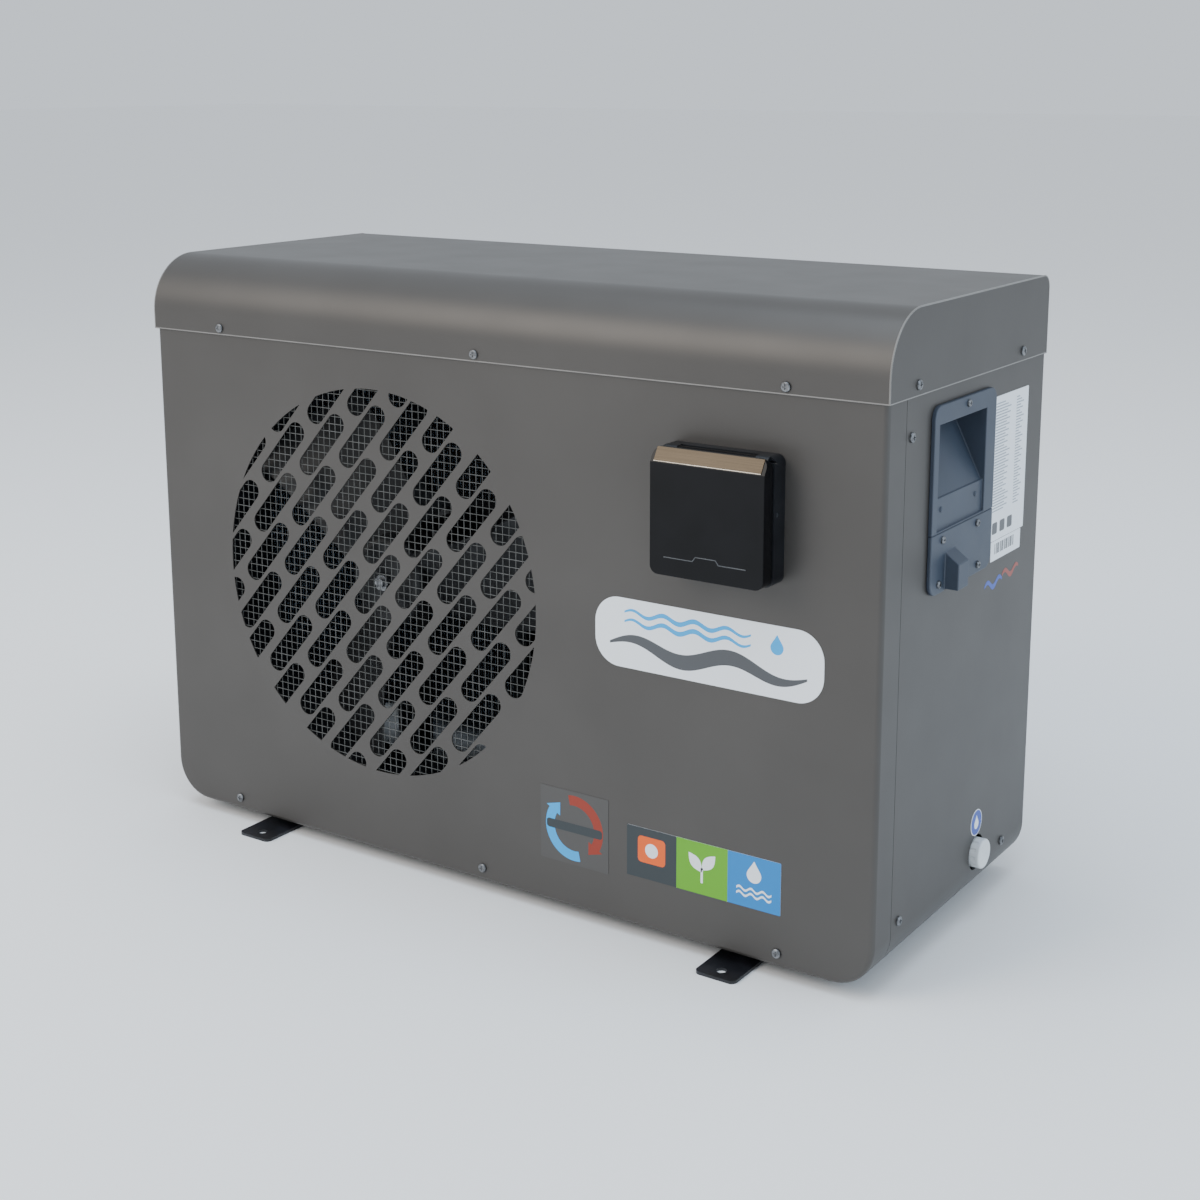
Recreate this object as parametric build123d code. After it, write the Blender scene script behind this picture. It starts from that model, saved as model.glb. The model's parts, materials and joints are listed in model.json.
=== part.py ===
from build123d import *
import math
import os

# A pool heat pump in a sheet steel casing. Millimetres, +Z up, front face towards -Y.
# Origin: on the floor, in the middle of the four foot holes.

# Casing
CASE_W = 850.0
CASE_D = 344.0
CASE_H = 597.0
FOOT_H = 12.0
SEAM_H = 521.0
SHEET = 1.2
CORNER_R = 41.0
BEND_R = 5.0
FRONT_RETURN = 35.0
PANEL_GAP = 0.6
LID_LAP = 1.7
LID_FRONT_R = 57.0
LID_BACK_R = 13.0
LID_COVERS = 18.0

FRONT_Y = -CASE_D / 2
BACK_Y = CASE_D / 2
SIDE_X = CASE_W / 2
SEAM_Z = FOOT_H + SEAM_H
TOP_Z = FOOT_H + CASE_H
PANEL_TOP = SEAM_Z + LID_COVERS
PAN_UNDER = FOOT_H + SHEET
PAN_TOP = PAN_UNDER + SHEET

# Foot rails
RAIL_X = 284.0
RAIL_W = 42.0
RAIL_T = 3.0
RAIL_OUT = 31.0
FOOT_HOLE_R = 5.0
FOOT_HOLE_IN = 14.0
RAIL_LEN = CASE_D + 2 * RAIL_OUT
FOOT_HOLE_Y = RAIL_LEN / 2 - FOOT_HOLE_IN

# Fan and its grille
FAN_X = -130.0
FAN_Z = FOOT_H + 284.5
GRILLE_R = 198.0
SLOT_CC = 60.0
SLOT_W = 21.8
SLOT_ANGLE = 49.0
SLOT_STEP_A = Vector(53.7, 13.8)
SLOT_STEP_B = Vector(12.9, 54.2)
SLOT_START = Vector(-120.5, 121.3)
SLOT_MIN_AREA = 120.0
MESH_R = 215.0
MESH_BAND = 9.0
MESH_T = 2.0
MESH_PITCH = 46.2
WIRE_W = 1.6
MESH_Y = FRONT_Y + SHEET
SHROUD_R = 200.0
SHROUD_WALL = 2.0
SHROUD_DEPTH = 58.0
SHROUD_Y = MESH_Y + MESH_T
FAN_Y = -135.0
FAN_R = 194.0
HUB_R = 46.0
HUB_LEN = 46.0
SHAFT_R = 5.0
RUN_FIT = 0.05
MOTOR_R = 46.0
MOTOR_FRONT = -100.0
MOTOR_BACK = -20.0
BLADES = 3

# Partition between the fan side and the compressor side
WALL_X = 95.0
WALL_BACK = 120.0
TRAY_Z = 530.0

# Compressor, accumulator and heat exchanger
COMP_X = 200.0
COMP_Y = -10.0
COMP_R = 58.0
COMP_FOOT_Z = 38.0
COMP_TOP = 290.0
COMP_FOOT_R = 78.0
GROMMET_R = 14.0
M8_R = 4.0
ACC_X = 128.0
ACC_Y = 55.0
ACC_R = 25.0
ACC_TOP = 250.0
HEX_X = 335.0
HEX_Y = 70.0
HEX_R = 60.0
HEX_CAP_R = 64.0
HEX_TOP = 420.0
HEX_BOTTOM = FOOT_H + 18.0
PLINTH_R = 40.0
VALVE_Y = 40.0
VALVE_Z = 390.0
VALVE_X = 210.0
VALVE_STUB = 25.0
PIPE_R = 7.0
HEADER_X = 104.0
HEADER_Y = 141.0

# Water unions for 50 mm pipe
INLET_Z = 110.0
OUTLET_Z = 330.0
PIPE_SOCKET_R = 25.05
WATER_BORE_R = 21.0
THREAD_R = 30.0
THREAD_END = BACK_Y + 28.0
NUT_R = 41.0
NUT_CLEAR = 0.4
NUT_LUGS = 8

# Drain
DRAIN_Y = 52.0
DRAIN_Z = FOOT_H + 52.0
DRAIN_SPOUT_R = 10.0
DRAIN_CAP_R = 14.5

# Coil and its guards
COIL_T = 38.0
COIL_TOP = 520.0
COIL_BOTTOM = FOOT_H + 32.0
COIL_BACK = 160.0
COIL_LEFT = -414.0
COIL_RIGHT = 88.0
COIL_FRONT = -110.0
GUARD_PITCH = 45.0

# Handle plate and cable cover on the right side
PLATE_Y = (-87.0, 48.0)
PLATE_Z = (FOOT_H + 338.0, FOOT_H + 507.0)
PLATE_SPLIT = FOOT_H + 393.0
PLATE_R = 12.0
PLATE_T = 4.0
POCKET_Y = (-77.0, 26.0)
POCKET_Z = (FOOT_H + 395.0, FOOT_H + 490.0)
SLOPE_Z = FOOT_H + 424.0
POCKET_DEPTH = 31.0
POCKET_WALL = 2.0
FINGER_TOP = FOOT_H + 500.0
HOOD_Y = (-57.0, -35.0)
HOOD_Z = (FOOT_H + 340.0, FOOT_H + 376.0)
HOOD_OUT = 17.5
HOOD_DROP = 12.0
HOOD_WALL = 2.0

# Controller with its flip-up cover
CTRL_X = 273.5
CTRL_W = 115.0
CTRL_Z = (FOOT_H + 356.0, FOOT_H + 470.0)
CTRL_DEPTH = 35.0
CTRL_R = 8.0
BASE_Y = FRONT_Y - 19.0
COVER_BACK = BASE_Y - 0.5
COVER_FRONT = FRONT_Y - CTRL_DEPTH
HINGE_Y = BASE_Y + 3.0
HINGE_Z = CTRL_Z[1] - 5.0
LUG_R = 5.0
BARREL_R = 4.6
PIN_R = 1.5
BARREL_HALF = 38.5
STRIP_Z = CTRL_Z[1] - 13.0
STRIP_BACK = COVER_FRONT + 8.0
STRIP_HALF = 53.0
DISPLAY_X = (CTRL_X - 42.0, CTRL_X + 42.0)
DISPLAY_Z = (CTRL_Z[0] + 44.0, CTRL_Z[0] + 92.0)
LENS_SEAT = 1.5
BUTTON_R = 5.0
BUTTON_GAP = 0.4
BUTTON_STEP = 22.0
BUTTON_Z = CTRL_Z[0] + 24.0
BUTTON_NAMES = ("power", "mode", "up", "down")

# Screws
HEAD_R = 4.6
HEAD_H = 2.4
SHANK_R = 2.0
SHANK_L = 8.0

LABEL_T = 0.3


def span_box(x, y, z):
    """A box between two x, two y and two z values."""
    spans = (x, y, z)
    middle = [(a + b) / 2 for a, b in spans]
    return Pos(*middle) * Box(*[b - a for a, b in spans])


def along_x(sketch, x0, x1):
    """Extrude a sketch drawn in (y, z) from x0 to x1."""
    return extrude(Plane(origin=(x0, 0, 0), x_dir=(0, 1, 0), z_dir=(1, 0, 0)) * sketch, amount=x1 - x0)


def along_y(sketch, y0, y1):
    """Extrude a sketch drawn in (x, z) from y0 to y1."""
    return extrude(Plane(origin=(0, y1, 0), x_dir=(1, 0, 0), z_dir=(0, -1, 0)) * sketch, amount=y1 - y0)


def along_z(sketch, z0, z1):
    """Extrude a sketch drawn in (x, y) from z0 to z1."""
    return extrude(Pos(0, 0, z0) * sketch, amount=z1 - z0)


def rod_x(y, z, r, x0, x1):
    return along_x(Pos(y, z) * Circle(r), x0, x1)


def rod_y(x, z, r, y0, y1):
    return along_y(Pos(x, z) * Circle(r), y0, y1)


def rod_z(x, y, r, z0, z1):
    return along_z(Pos(x, y) * Circle(r), z0, z1)


def frame_rect(a, b, r=0.0):
    """A rectangle between two spans, with round corners when r is given."""
    middle = Pos((a[0] + a[1]) / 2, (b[0] + b[1]) / 2)
    size = (a[1] - a[0], b[1] - b[0])
    if r:
        return middle * RectangleRounded(size[0], size[1], r)
    return middle * Rectangle(size[0], size[1])


def pipe(points, r, bend):
    """A round bar along straight runs joined by tangent arcs."""
    path = FilletPolyline(*points, radius=bend)
    section = Plane(origin=path @ 0, z_dir=path % 0) * Circle(r)
    return sweep(section, path=path)


def casing_section(inset, top):
    """The casing's outline in (x, z), with both lower corners round."""
    half = SIDE_X - inset
    shape = frame_rect((-half, half), (FOOT_H + inset, max(top, SEAM_Z)))
    low = shape.vertices().group_by(Axis.Y)[0]
    return fillet(low, CORNER_R - inset) & frame_rect((-SIDE_X, SIDE_X), (0, top))


def casing_skin(y0, y1, top):
    """The bent sheet that follows the casing's sides and bottom."""
    return along_y(casing_section(0, top) - casing_section(SHEET, top + 1), y0, y1)


def grille_slots():
    """Slanted slots on a skewed grid, trimmed by the grille's circle."""
    slots = []
    disc = Circle(GRILLE_R)
    for i in range(-9, 10):
        for j in range(-9, 10):
            middle = SLOT_START + SLOT_STEP_A * i + SLOT_STEP_B * j
            if middle.length > GRILLE_R + SLOT_CC:
                continue
            slot = Pos(middle.X, middle.Y) * Rot(0, 0, SLOT_ANGLE) * SlotCenterToCenter(SLOT_CC, SLOT_W)
            trimmed = slot & disc
            if trimmed and sum(face.area for face in trimmed.faces()) > SLOT_MIN_AREA:
                slots.append(Pos(FAN_X, FAN_Z) * trimmed)
    return slots


def front_panel():
    """A tray: the front face with a return along the sides and bottom."""
    back = FRONT_Y + FRONT_RETURN
    outer = along_y(casing_section(0, PANEL_TOP), FRONT_Y, back)
    rim = [e for e in outer.edges().group_by(Axis.Y)[0] if e.center().Z < PANEL_TOP - 1]
    outer = fillet(rim, BEND_R)
    inner = along_y(casing_section(SHEET, PANEL_TOP + 20), FRONT_Y + SHEET, back + 1)
    rim = [e for e in inner.edges().group_by(Axis.Y)[0] if e.center().Z < PANEL_TOP + 19]
    inner = fillet(rim, BEND_R - SHEET)
    panel = outer - inner
    panel -= [along_y(s, FRONT_Y - 1, FRONT_Y + SHEET + 1) for s in grille_slots()]
    return panel - rod_y(CTRL_X, BUTTON_Z + 60, 10, FRONT_Y - 1, FRONT_Y + SHEET + 1)


def side_skin(sign):
    """One side sheet, round at the bottom, behind the front panel's return."""
    skin = casing_skin(FRONT_Y + FRONT_RETURN + PANEL_GAP, BACK_Y, PANEL_TOP)
    outer = sign * (SIDE_X + 1)
    inner = sign * (SIDE_X - 62)
    return skin & span_box(sorted((inner, outer)), (-CASE_D, CASE_D), (0, TOP_Z))


def right_side_panel():
    panel = side_skin(1)
    pocket = frame_rect((POCKET_Y[0] - 3, POCKET_Y[1] + 3), (SLOPE_Z - 6, FINGER_TOP + 3))
    cable = frame_rect((HOOD_Y[0] + 2, HOOD_Y[1] - 2), (HOOD_Z[0] + 4, HOOD_Z[1] - 4))
    panel -= along_x(pocket, SIDE_X - 3, SIDE_X + 1)
    panel -= along_x(cable, SIDE_X - 3, SIDE_X + 1)
    return panel - rod_x(DRAIN_Y, DRAIN_Z, 17.5, SIDE_X - 3, SIDE_X + 1)


def left_side_panel():
    opening = frame_rect((-112, 140), (FOOT_H + 50, SEAM_Z - 20), 10)
    return side_skin(-1) - along_x(opening, -SIDE_X - 1, -SIDE_X + 3)


def guard_grid(a, b):
    """A flat guard in (a, b): a border and evenly spaced bars."""
    border = frame_rect(a, b, 6) - frame_rect((a[0] + 6, a[1] - 6), (b[0] + 6, b[1] - 6))
    count = round((a[1] - a[0]) / GUARD_PITCH)
    step = (a[1] - a[0]) / count
    for i in range(1, count):
        middle = a[0] + i * step
        border += frame_rect((middle - 1.5, middle + 1.5), (b[0] + 5, b[1] - 5))
    rows = round((b[1] - b[0]) / GUARD_PITCH / 2)
    step = (b[1] - b[0]) / rows
    for i in range(1, rows):
        middle = b[0] + i * step
        border += frame_rect((a[0] + 5, a[1] - 5), (middle - 1.5, middle + 1.5))
    return border


def left_guard():
    grid = guard_grid((-118, 146), (FOOT_H + 44, SEAM_Z - 14))
    x0 = -SIDE_X + SHEET
    return along_x(grid, x0, x0 + 3)


def rear_guard():
    grid = guard_grid((-SIDE_X + 6, 118), (FOOT_H + 44, PANEL_TOP - 2))
    return along_y(grid, BACK_Y - 4, BACK_Y - 1)


def rear_panel():
    """The service panel behind the compressor side, folded at its free edge."""
    left = 120.0
    sheet = along_y(casing_section(SHEET, PANEL_TOP), BACK_Y - SHEET, BACK_Y)
    sheet &= span_box((left, SIDE_X), (0, CASE_D), (0, TOP_Z))
    sheet += span_box((left, left + SHEET), (BACK_Y - 18, BACK_Y), (FOOT_H + 40, PANEL_TOP))
    for z in (INLET_Z, OUTLET_Z):
        sheet -= rod_y(HEX_X, z, THREAD_R + 1, BACK_Y - 5, BACK_Y + 1)
    return sheet


def lid_section(inset):
    """The lid's side outline in (y, z): a large front roll and a small rear bend."""
    half = CASE_D / 2 + LID_LAP - inset
    top = TOP_Z - inset
    shape = frame_rect((-half, half), (SEAM_Z - (1 if inset else 0), top))
    upper = shape.vertices().group_by(Axis.Y)[-1].sort_by(Axis.X)
    shape = fillet(upper[0], LID_FRONT_R - inset)
    upper = shape.vertices().group_by(Axis.X)[-1].sort_by(Axis.Y)
    return fillet(upper[-1], LID_BACK_R - inset)


def top_cover():
    half = SIDE_X + LID_LAP
    outer = along_x(lid_section(0), -half, half)
    return outer - along_x(lid_section(SHEET), -half + SHEET, half - SHEET)


def base_pan():
    """A tray that carries everything inside the casing."""
    y0 = FRONT_Y + SHEET + BEND_R
    y1 = BACK_Y - SHEET
    section = casing_section(SHEET, FOOT_H + 34) - casing_section(2 * SHEET, FOOT_H + 35)
    pan = along_y(section, y0, y1)
    lip = casing_section(2 * SHEET, FOOT_H + 30)
    pan += along_y(lip, y0, y0 + SHEET)
    pan += along_y(lip & frame_rect((-SIDE_X, 118), (0, FOOT_H + 30)), y1 - SHEET, y1)
    for x in (-340, -140, 60):
        pan += span_box((x - 15, x + 15), (COIL_BACK - COIL_T, COIL_BACK), (PAN_TOP - 0.5, COIL_BOTTOM))
    return pan


def foot_rail(x):
    """A channel: a floor strip with a tab at each end, and two low walls under the pan."""
    half = RAIL_W / 2
    strip = along_z(frame_rect((x - half, x + half), (-RAIL_LEN / 2, RAIL_LEN / 2), 6), 0, RAIL_T)
    for side in (-1, 1):
        edge = x + side * (half - RAIL_T / 2)
        wall = (edge - RAIL_T / 2, edge + RAIL_T / 2)
        strip += span_box(wall, (FRONT_Y + FRONT_RETURN + 2, BACK_Y - 4), (0, PAN_UNDER))
        strip -= rod_z(x, side * FOOT_HOLE_Y, FOOT_HOLE_R, -1, RAIL_T + 1)
    return strip


def partition():
    wall = span_box((WALL_X, WALL_X + SHEET), (FRONT_Y + 8, WALL_BACK), (PAN_TOP, TRAY_Z))
    foot = span_box((WALL_X, WALL_X + 15), (FRONT_Y + 10, WALL_BACK), (PAN_TOP, PAN_TOP + SHEET))
    return wall + foot


def mesh_screen():
    """Wire mesh in a ring, clamped behind the grille."""
    disc = Circle(MESH_R - MESH_BAND / 2)
    net = Circle(MESH_R) - Circle(MESH_R - MESH_BAND)
    count = int(MESH_R / MESH_PITCH)
    for i in range(-count, count + 1):
        at = i * MESH_PITCH
        net += (Pos(at, 0) * Rectangle(WIRE_W, 2 * MESH_R)) & disc
        net += (Pos(0, at) * Rectangle(2 * MESH_R, WIRE_W)) & disc
    return along_y(Pos(FAN_X, FAN_Z) * net, MESH_Y, MESH_Y + MESH_T)


def fan_shroud():
    """A plastic ring round the fan, with a flange against the mesh."""
    centre = Pos(FAN_X, FAN_Z)
    wall = Circle(SHROUD_R + SHROUD_WALL) - Circle(SHROUD_R)
    flange = Circle(SHROUD_R + 20) - Circle(SHROUD_R)
    ring = along_y(centre * wall, SHROUD_Y, SHROUD_Y + SHROUD_DEPTH)
    return ring + along_y(centre * flange, SHROUD_Y, SHROUD_Y + SHROUD_WALL)


def blade_section(radius, chord, pitch, lead):
    """One station of a fan blade: a thin rounded strip, turned by its pitch."""
    plane = Plane(origin=(radius, lead, 0), x_dir=(0, 1, 0), z_dir=(1, 0, 0))
    return plane * Rot(0, 0, pitch) * RectangleRounded(chord, 3.6, 1.7)


def fan_blade():
    """Hub and three swept blades, built about local Z and turned to face the front."""
    hub = Cylinder(HUB_R, HUB_LEN)
    hub = fillet(hub.edges().sort_by(Axis.Z)[-1], 10)
    hub -= Pos(0, 0, -6) * Cylinder(HUB_R - 4, HUB_LEN) - Cylinder(14, HUB_LEN)
    stations = [blade_section(HUB_R - 8, 84, 34, 0)]
    stations.append(blade_section(120, 120, 26, 12))
    stations.append(blade_section(FAN_R + 8, 150, 19, 44))
    blade = loft(stations) & Cylinder(FAN_R, 90)
    blade -= Cylinder(HUB_R - 2, 90)
    fan = hub
    for i in range(BLADES):
        fan += Rot(0, 0, i * 360 / BLADES) * blade
    fan -= Cylinder(SHAFT_R, 90)
    return Pos(FAN_X, FAN_Y, FAN_Z) * Rot(90, 0, 0) * fan


def fan_shaft():
    return rod_y(FAN_X, FAN_Z, SHAFT_R, FAN_Y - HUB_LEN / 2 - 9, MOTOR_FRONT + 40)


def fan_nut():
    y1 = FAN_Y - HUB_LEN / 2
    nut = RegularPolygon(9, 6) - Circle(SHAFT_R)
    return along_y(Pos(FAN_X, FAN_Z) * nut, y1 - 6, y1)


def fan_motor():
    """A round motor with four ears, and a bore that the shaft turns in."""
    body = rod_y(FAN_X, FAN_Z, MOTOR_R, MOTOR_FRONT, MOTOR_BACK)
    body = fillet(body.edges().sort_by(Axis.Y)[0], 6)
    body += rod_y(FAN_X, FAN_Z, 16, MOTOR_FRONT - 6, MOTOR_FRONT + 2)
    ears = RectangleRounded(108, 30, 8) + Rot(0, 0, 90) * RectangleRounded(108, 30, 8)
    body += along_y(Pos(FAN_X, FAN_Z) * Rot(0, 0, 45) * ears, MOTOR_BACK - 5, MOTOR_BACK)
    return body - rod_y(FAN_X, FAN_Z, SHAFT_R + RUN_FIT, MOTOR_FRONT - 8, MOTOR_FRONT + 41)


def motor_bracket():
    """Two uprights from pan to coil top, joined by a plate behind the motor."""
    plate = frame_rect((FAN_X - 75, FAN_X + 75), (FAN_Z - 60, FAN_Z + 60), 8)
    bracket = along_y(plate, MOTOR_BACK, MOTOR_BACK + 3)
    for side in (-1, 1):
        x = FAN_X + side * 66
        bracket += span_box((x - 9, x + 9), (MOTOR_BACK, MOTOR_BACK + 3), (PAN_TOP, COIL_TOP))
        flank = (x + side * 6, x + side * 9)
        bracket += span_box(sorted(flank), (MOTOR_BACK, MOTOR_BACK + 18), (PAN_TOP, COIL_TOP))
    bracket += span_box((FAN_X - 75, FAN_X + 75), (MOTOR_BACK, COIL_BACK), (COIL_TOP, COIL_TOP + 3))
    return bracket


def evaporator_coil():
    """The finned block, bent round the rear left corner."""
    outer = frame_rect((COIL_LEFT, COIL_RIGHT), (COIL_FRONT, COIL_BACK))
    outer = fillet(outer.vertices().group_by(Axis.X)[0].sort_by(Axis.Y)[-1], 70)
    inner = frame_rect((COIL_LEFT + COIL_T, COIL_RIGHT + 1), (COIL_FRONT - 1, COIL_BACK - COIL_T))
    inner = fillet(inner.vertices().group_by(Axis.X)[0].sort_by(Axis.Y)[-1], 70 - COIL_T)
    return along_z(outer - inner, COIL_BOTTOM, COIL_TOP)


def coil_bends():
    """Copper return bends at the coil's free end, and its two headers."""
    y = COIL_BACK - COIL_T / 2
    bends = rod_z(HEADER_X + 14, y, 8, 60, 480)
    for i in range(9):
        z = 50 + i * 50
        u_bend = Pos(COIL_RIGHT, y, z + 12.5) * Rot(90, 0, 0) * Torus(12.5, 4.5)
        bends += u_bend & span_box((COIL_RIGHT, COIL_RIGHT + 30), (y - 9, y + 9), (z - 10, z + 35))
        bends += rod_x(y, z + 36, 4, COIL_RIGHT, HEADER_X + 14)
    return bends


def compressor():
    """A welded shell with a domed top, a foot plate and a terminal cap."""
    body = rod_z(COMP_X, COMP_Y, COMP_R, COMP_FOOT_Z, COMP_TOP)
    body = fillet(body.edges().sort_by(Axis.Z)[-1], 34)
    foot = Circle(COMP_R + 6)
    for i in range(3):
        foot += Rot(0, 0, 90 + i * 120) * Pos(COMP_FOOT_R / 2, 0) * SlotOverall(COMP_FOOT_R + 40, 32)
    holes = PolarLocations(COMP_FOOT_R, 3, start_angle=90) * Circle(M8_R + 0.2)
    body += along_z(Pos(COMP_X, COMP_Y) * (foot - holes), COMP_FOOT_Z, COMP_FOOT_Z + 4)
    return body + rod_z(COMP_X - 22, COMP_Y - 18, 17, COMP_TOP - 20, COMP_TOP + 12)


def compressor_feet():
    """Where the compressor stands: a centre for each of its three feet."""
    return [Pos(COMP_X, COMP_Y) * spot for spot in PolarLocations(COMP_FOOT_R, 3, start_angle=90)]


def compressor_grommets():
    ring = Circle(GROMMET_R) - Circle(M8_R + 0.2)
    return [along_z(spot * ring, PAN_TOP, COMP_FOOT_Z) for spot in compressor_feet()]


def compressor_bolts():
    """A stud with a washer and nut at each foot."""
    parts = []
    top = COMP_FOOT_Z + 4
    for spot in compressor_feet():
        stud = along_z(spot * Circle(M8_R), PAN_TOP, top + 14)
        stud += along_z(spot * Circle(12), top, top + 2)
        parts.append(stud + along_z(spot * RegularPolygon(7.5, 6), top + 2, top + 9))
    return parts


def accumulator():
    body = rod_z(ACC_X, ACC_Y, ACC_R, 60, ACC_TOP)
    body = fillet(body.edges().group_by(Axis.Z)[-1] + body.edges().group_by(Axis.Z)[0], 18)
    return body + span_box((WALL_X + SHEET, ACC_X), (ACC_Y - 10, ACC_Y + 10), (140, 156))


def hex_shell():
    return rod_z(HEX_X, HEX_Y, HEX_R, HEX_BOTTOM, HEX_TOP)


def heat_exchanger():
    """A plastic shell with a cap at each end, round the refrigerant coil."""
    shell = hex_shell()
    shell += rod_z(HEX_X, HEX_Y, HEX_CAP_R, HEX_BOTTOM, HEX_BOTTOM + 22)
    shell += rod_z(HEX_X, HEX_Y, PLINTH_R, PAN_TOP, HEX_BOTTOM)
    shell += rod_z(HEX_X, HEX_Y, HEX_CAP_R, HEX_TOP - 26, HEX_TOP)
    return fillet(shell.edges().sort_by(Axis.Z)[-1], 10)


def four_way_valve():
    body = rod_x(VALVE_Y, VALVE_Z, 13, VALVE_X - 50, VALVE_X + 50)
    body = fillet(body.edges().filter_by(GeomType.CIRCLE), 5)
    body += rod_z(VALVE_X, VALVE_Y, PIPE_R + 1, VALVE_Z, VALVE_Z + VALVE_STUB)
    for side in (-1, 0, 1):
        body += rod_z(VALVE_X + 25 * side, VALVE_Y, PIPE_R + 1, VALVE_Z - VALVE_STUB, VALVE_Z)
    coil = span_box((VALVE_X - 18, VALVE_X + 18), (VALVE_Y - 40, VALVE_Y - 8), (VALVE_Z - 14, VALVE_Z + 14))
    return body + coil


def discharge_pipe():
    top = VALVE_Z + VALVE_STUB
    run = [(COMP_X, COMP_Y, COMP_TOP), (COMP_X, COMP_Y, top + 38)]
    run += [(VALVE_X, VALVE_Y, top + 38), (VALVE_X, VALVE_Y, top)]
    return pipe(run, PIPE_R - 1, 16)


def suction_pipe():
    low = VALVE_Z - VALVE_STUB
    run = [(VALVE_X, VALVE_Y, low), (VALVE_X, VALVE_Y, low - 44)]
    run += [(ACC_X, ACC_Y, low - 44), (ACC_X, ACC_Y, ACC_TOP)]
    return pipe(run, PIPE_R, 18)


def exchanger_gas_pipe():
    low = VALVE_Z - VALVE_STUB
    x = VALVE_X + 25
    run = [(x, VALVE_Y, low), (x, VALVE_Y, low - 40), (x + 6, 95, low - 40), (x + 6, 95, HEX_TOP + 34)]
    run += [(HEX_X, HEX_Y, HEX_TOP + 34), (HEX_X, HEX_Y, HEX_TOP)]
    return pipe(run, PIPE_R, 16)


def coil_gas_pipe():
    low = VALVE_Z - VALVE_STUB
    x = VALVE_X - 25
    end = HEADER_X + 22
    run = [(x, VALVE_Y, low), (x, VALVE_Y, low - 22), (x - 6, HEADER_Y, low - 22), (end, HEADER_Y, low - 22)]
    return pipe(run, PIPE_R, 10)


def liquid_line():
    """From the exchanger through a filter dryer to the coil."""
    x, y = 235.0, 118.0
    line = pipe([(HEX_X - 50, HEX_Y, 90), (x, HEX_Y, 90), (x, y, 90), (x, y, 130)], 5, 14)
    line -= hex_shell()
    line += fillet(rod_z(x, y, 12, 128, 200).edges().filter_by(GeomType.CIRCLE), 6)
    return line + pipe([(x, y, 198), (x, y, 240), (160, HEADER_Y, 240), (HEADER_X + 22, HEADER_Y, 240)], 5, 14)


def water_spigot(z):
    """A tube from the exchanger through the rear panel, with a flange and a thread."""
    tube = rod_y(HEX_X, z, 26, HEX_Y + 30, BACK_Y + 1) - hex_shell()
    tube += rod_y(HEX_X, z, THREAD_R + 8, BACK_Y, BACK_Y + 4)
    tube += rod_y(HEX_X, z, THREAD_R, BACK_Y + 4, THREAD_END)
    return tube - (rod_y(HEX_X, z, WATER_BORE_R, HEX_Y, THREAD_END + 1) - hex_shell())


def union_tail(z):
    """The pipe socket that the union nut clamps on to the spigot."""
    neck = THREAD_R - 2.4
    tail = rod_y(HEX_X, z, THREAD_R - 0.4, THREAD_END, THREAD_END + 3.4)
    tail += rod_y(HEX_X, z, neck, THREAD_END, THREAD_END + 40)
    tail -= rod_y(HEX_X, z, WATER_BORE_R, THREAD_END - 1, THREAD_END + 41)
    return tail - rod_y(HEX_X, z, PIPE_SOCKET_R, THREAD_END + 6, THREAD_END + 41)


def union_nut(z):
    """A lugged nut, free to turn on the spigot and round the tail."""
    end = THREAD_END + 3.4 + NUT_CLEAR
    outline = Circle(NUT_R)
    for i in range(NUT_LUGS):
        outline += Rot(0, 0, i * 360 / NUT_LUGS) * Pos(NUT_R, 0) * RectangleRounded(6, 12, 2)
    nut = along_y(Pos(HEX_X, z) * outline, THREAD_END - 21, end + 5)
    nut -= rod_y(HEX_X, z, THREAD_R + NUT_CLEAR, THREAD_END - 22, end)
    return nut - rod_y(HEX_X, z, THREAD_R - 2.4 + NUT_CLEAR, end - 1, end + 6)


def flow_switch():
    """A paddle switch on the exchanger's wall, near its top."""
    x1 = HEX_X - HEX_R + 4
    stem = rod_x(HEX_Y - 30, 300, 10, x1 - 22, HEX_X) - hex_shell()
    return stem + span_box((x1 - 40, x1 - 20), (HEX_Y - 48, HEX_Y - 12), (284, 318))


def drain_spout():
    tube = rod_x(DRAIN_Y, DRAIN_Z, DRAIN_SPOUT_R, HEX_X + 20, SIDE_X + 2) - hex_shell()
    return tube - rod_x(DRAIN_Y, DRAIN_Z, 6, HEX_X + HEX_R, SIDE_X + 3)


def drain_cap():
    """A screw cap with a notched rim."""
    outer = rod_x(DRAIN_Y, DRAIN_Z, DRAIN_CAP_R, SIDE_X - 9, SIDE_X + 9)
    outer = fillet(outer.edges().sort_by(Axis.X)[-1], 2)
    for i in range(12):
        a = math.radians(i * 30)
        y = DRAIN_Y + (DRAIN_CAP_R + 0.8) * math.cos(a)
        z = DRAIN_Z + (DRAIN_CAP_R + 0.8) * math.sin(a)
        outer -= rod_x(y, z, 1.8, SIDE_X - 10, SIDE_X + 5)
    return outer - rod_x(DRAIN_Y, DRAIN_Z, DRAIN_SPOUT_R + NUT_CLEAR, SIDE_X - 10, SIDE_X + 3)


def electrical_tray():
    """An open sheet box under the lid, above the compressor side."""
    x, y = (WALL_X + 5, SIDE_X - 8), (FRONT_Y + 12, 118.0)
    tray = span_box(x, y, (TRAY_Z, TRAY_Z + 46))
    return tray - span_box((x[0] + SHEET, x[1] - SHEET), (y[0] + SHEET, y[1] - SHEET), (TRAY_Z + SHEET, TRAY_Z + 50))


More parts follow.
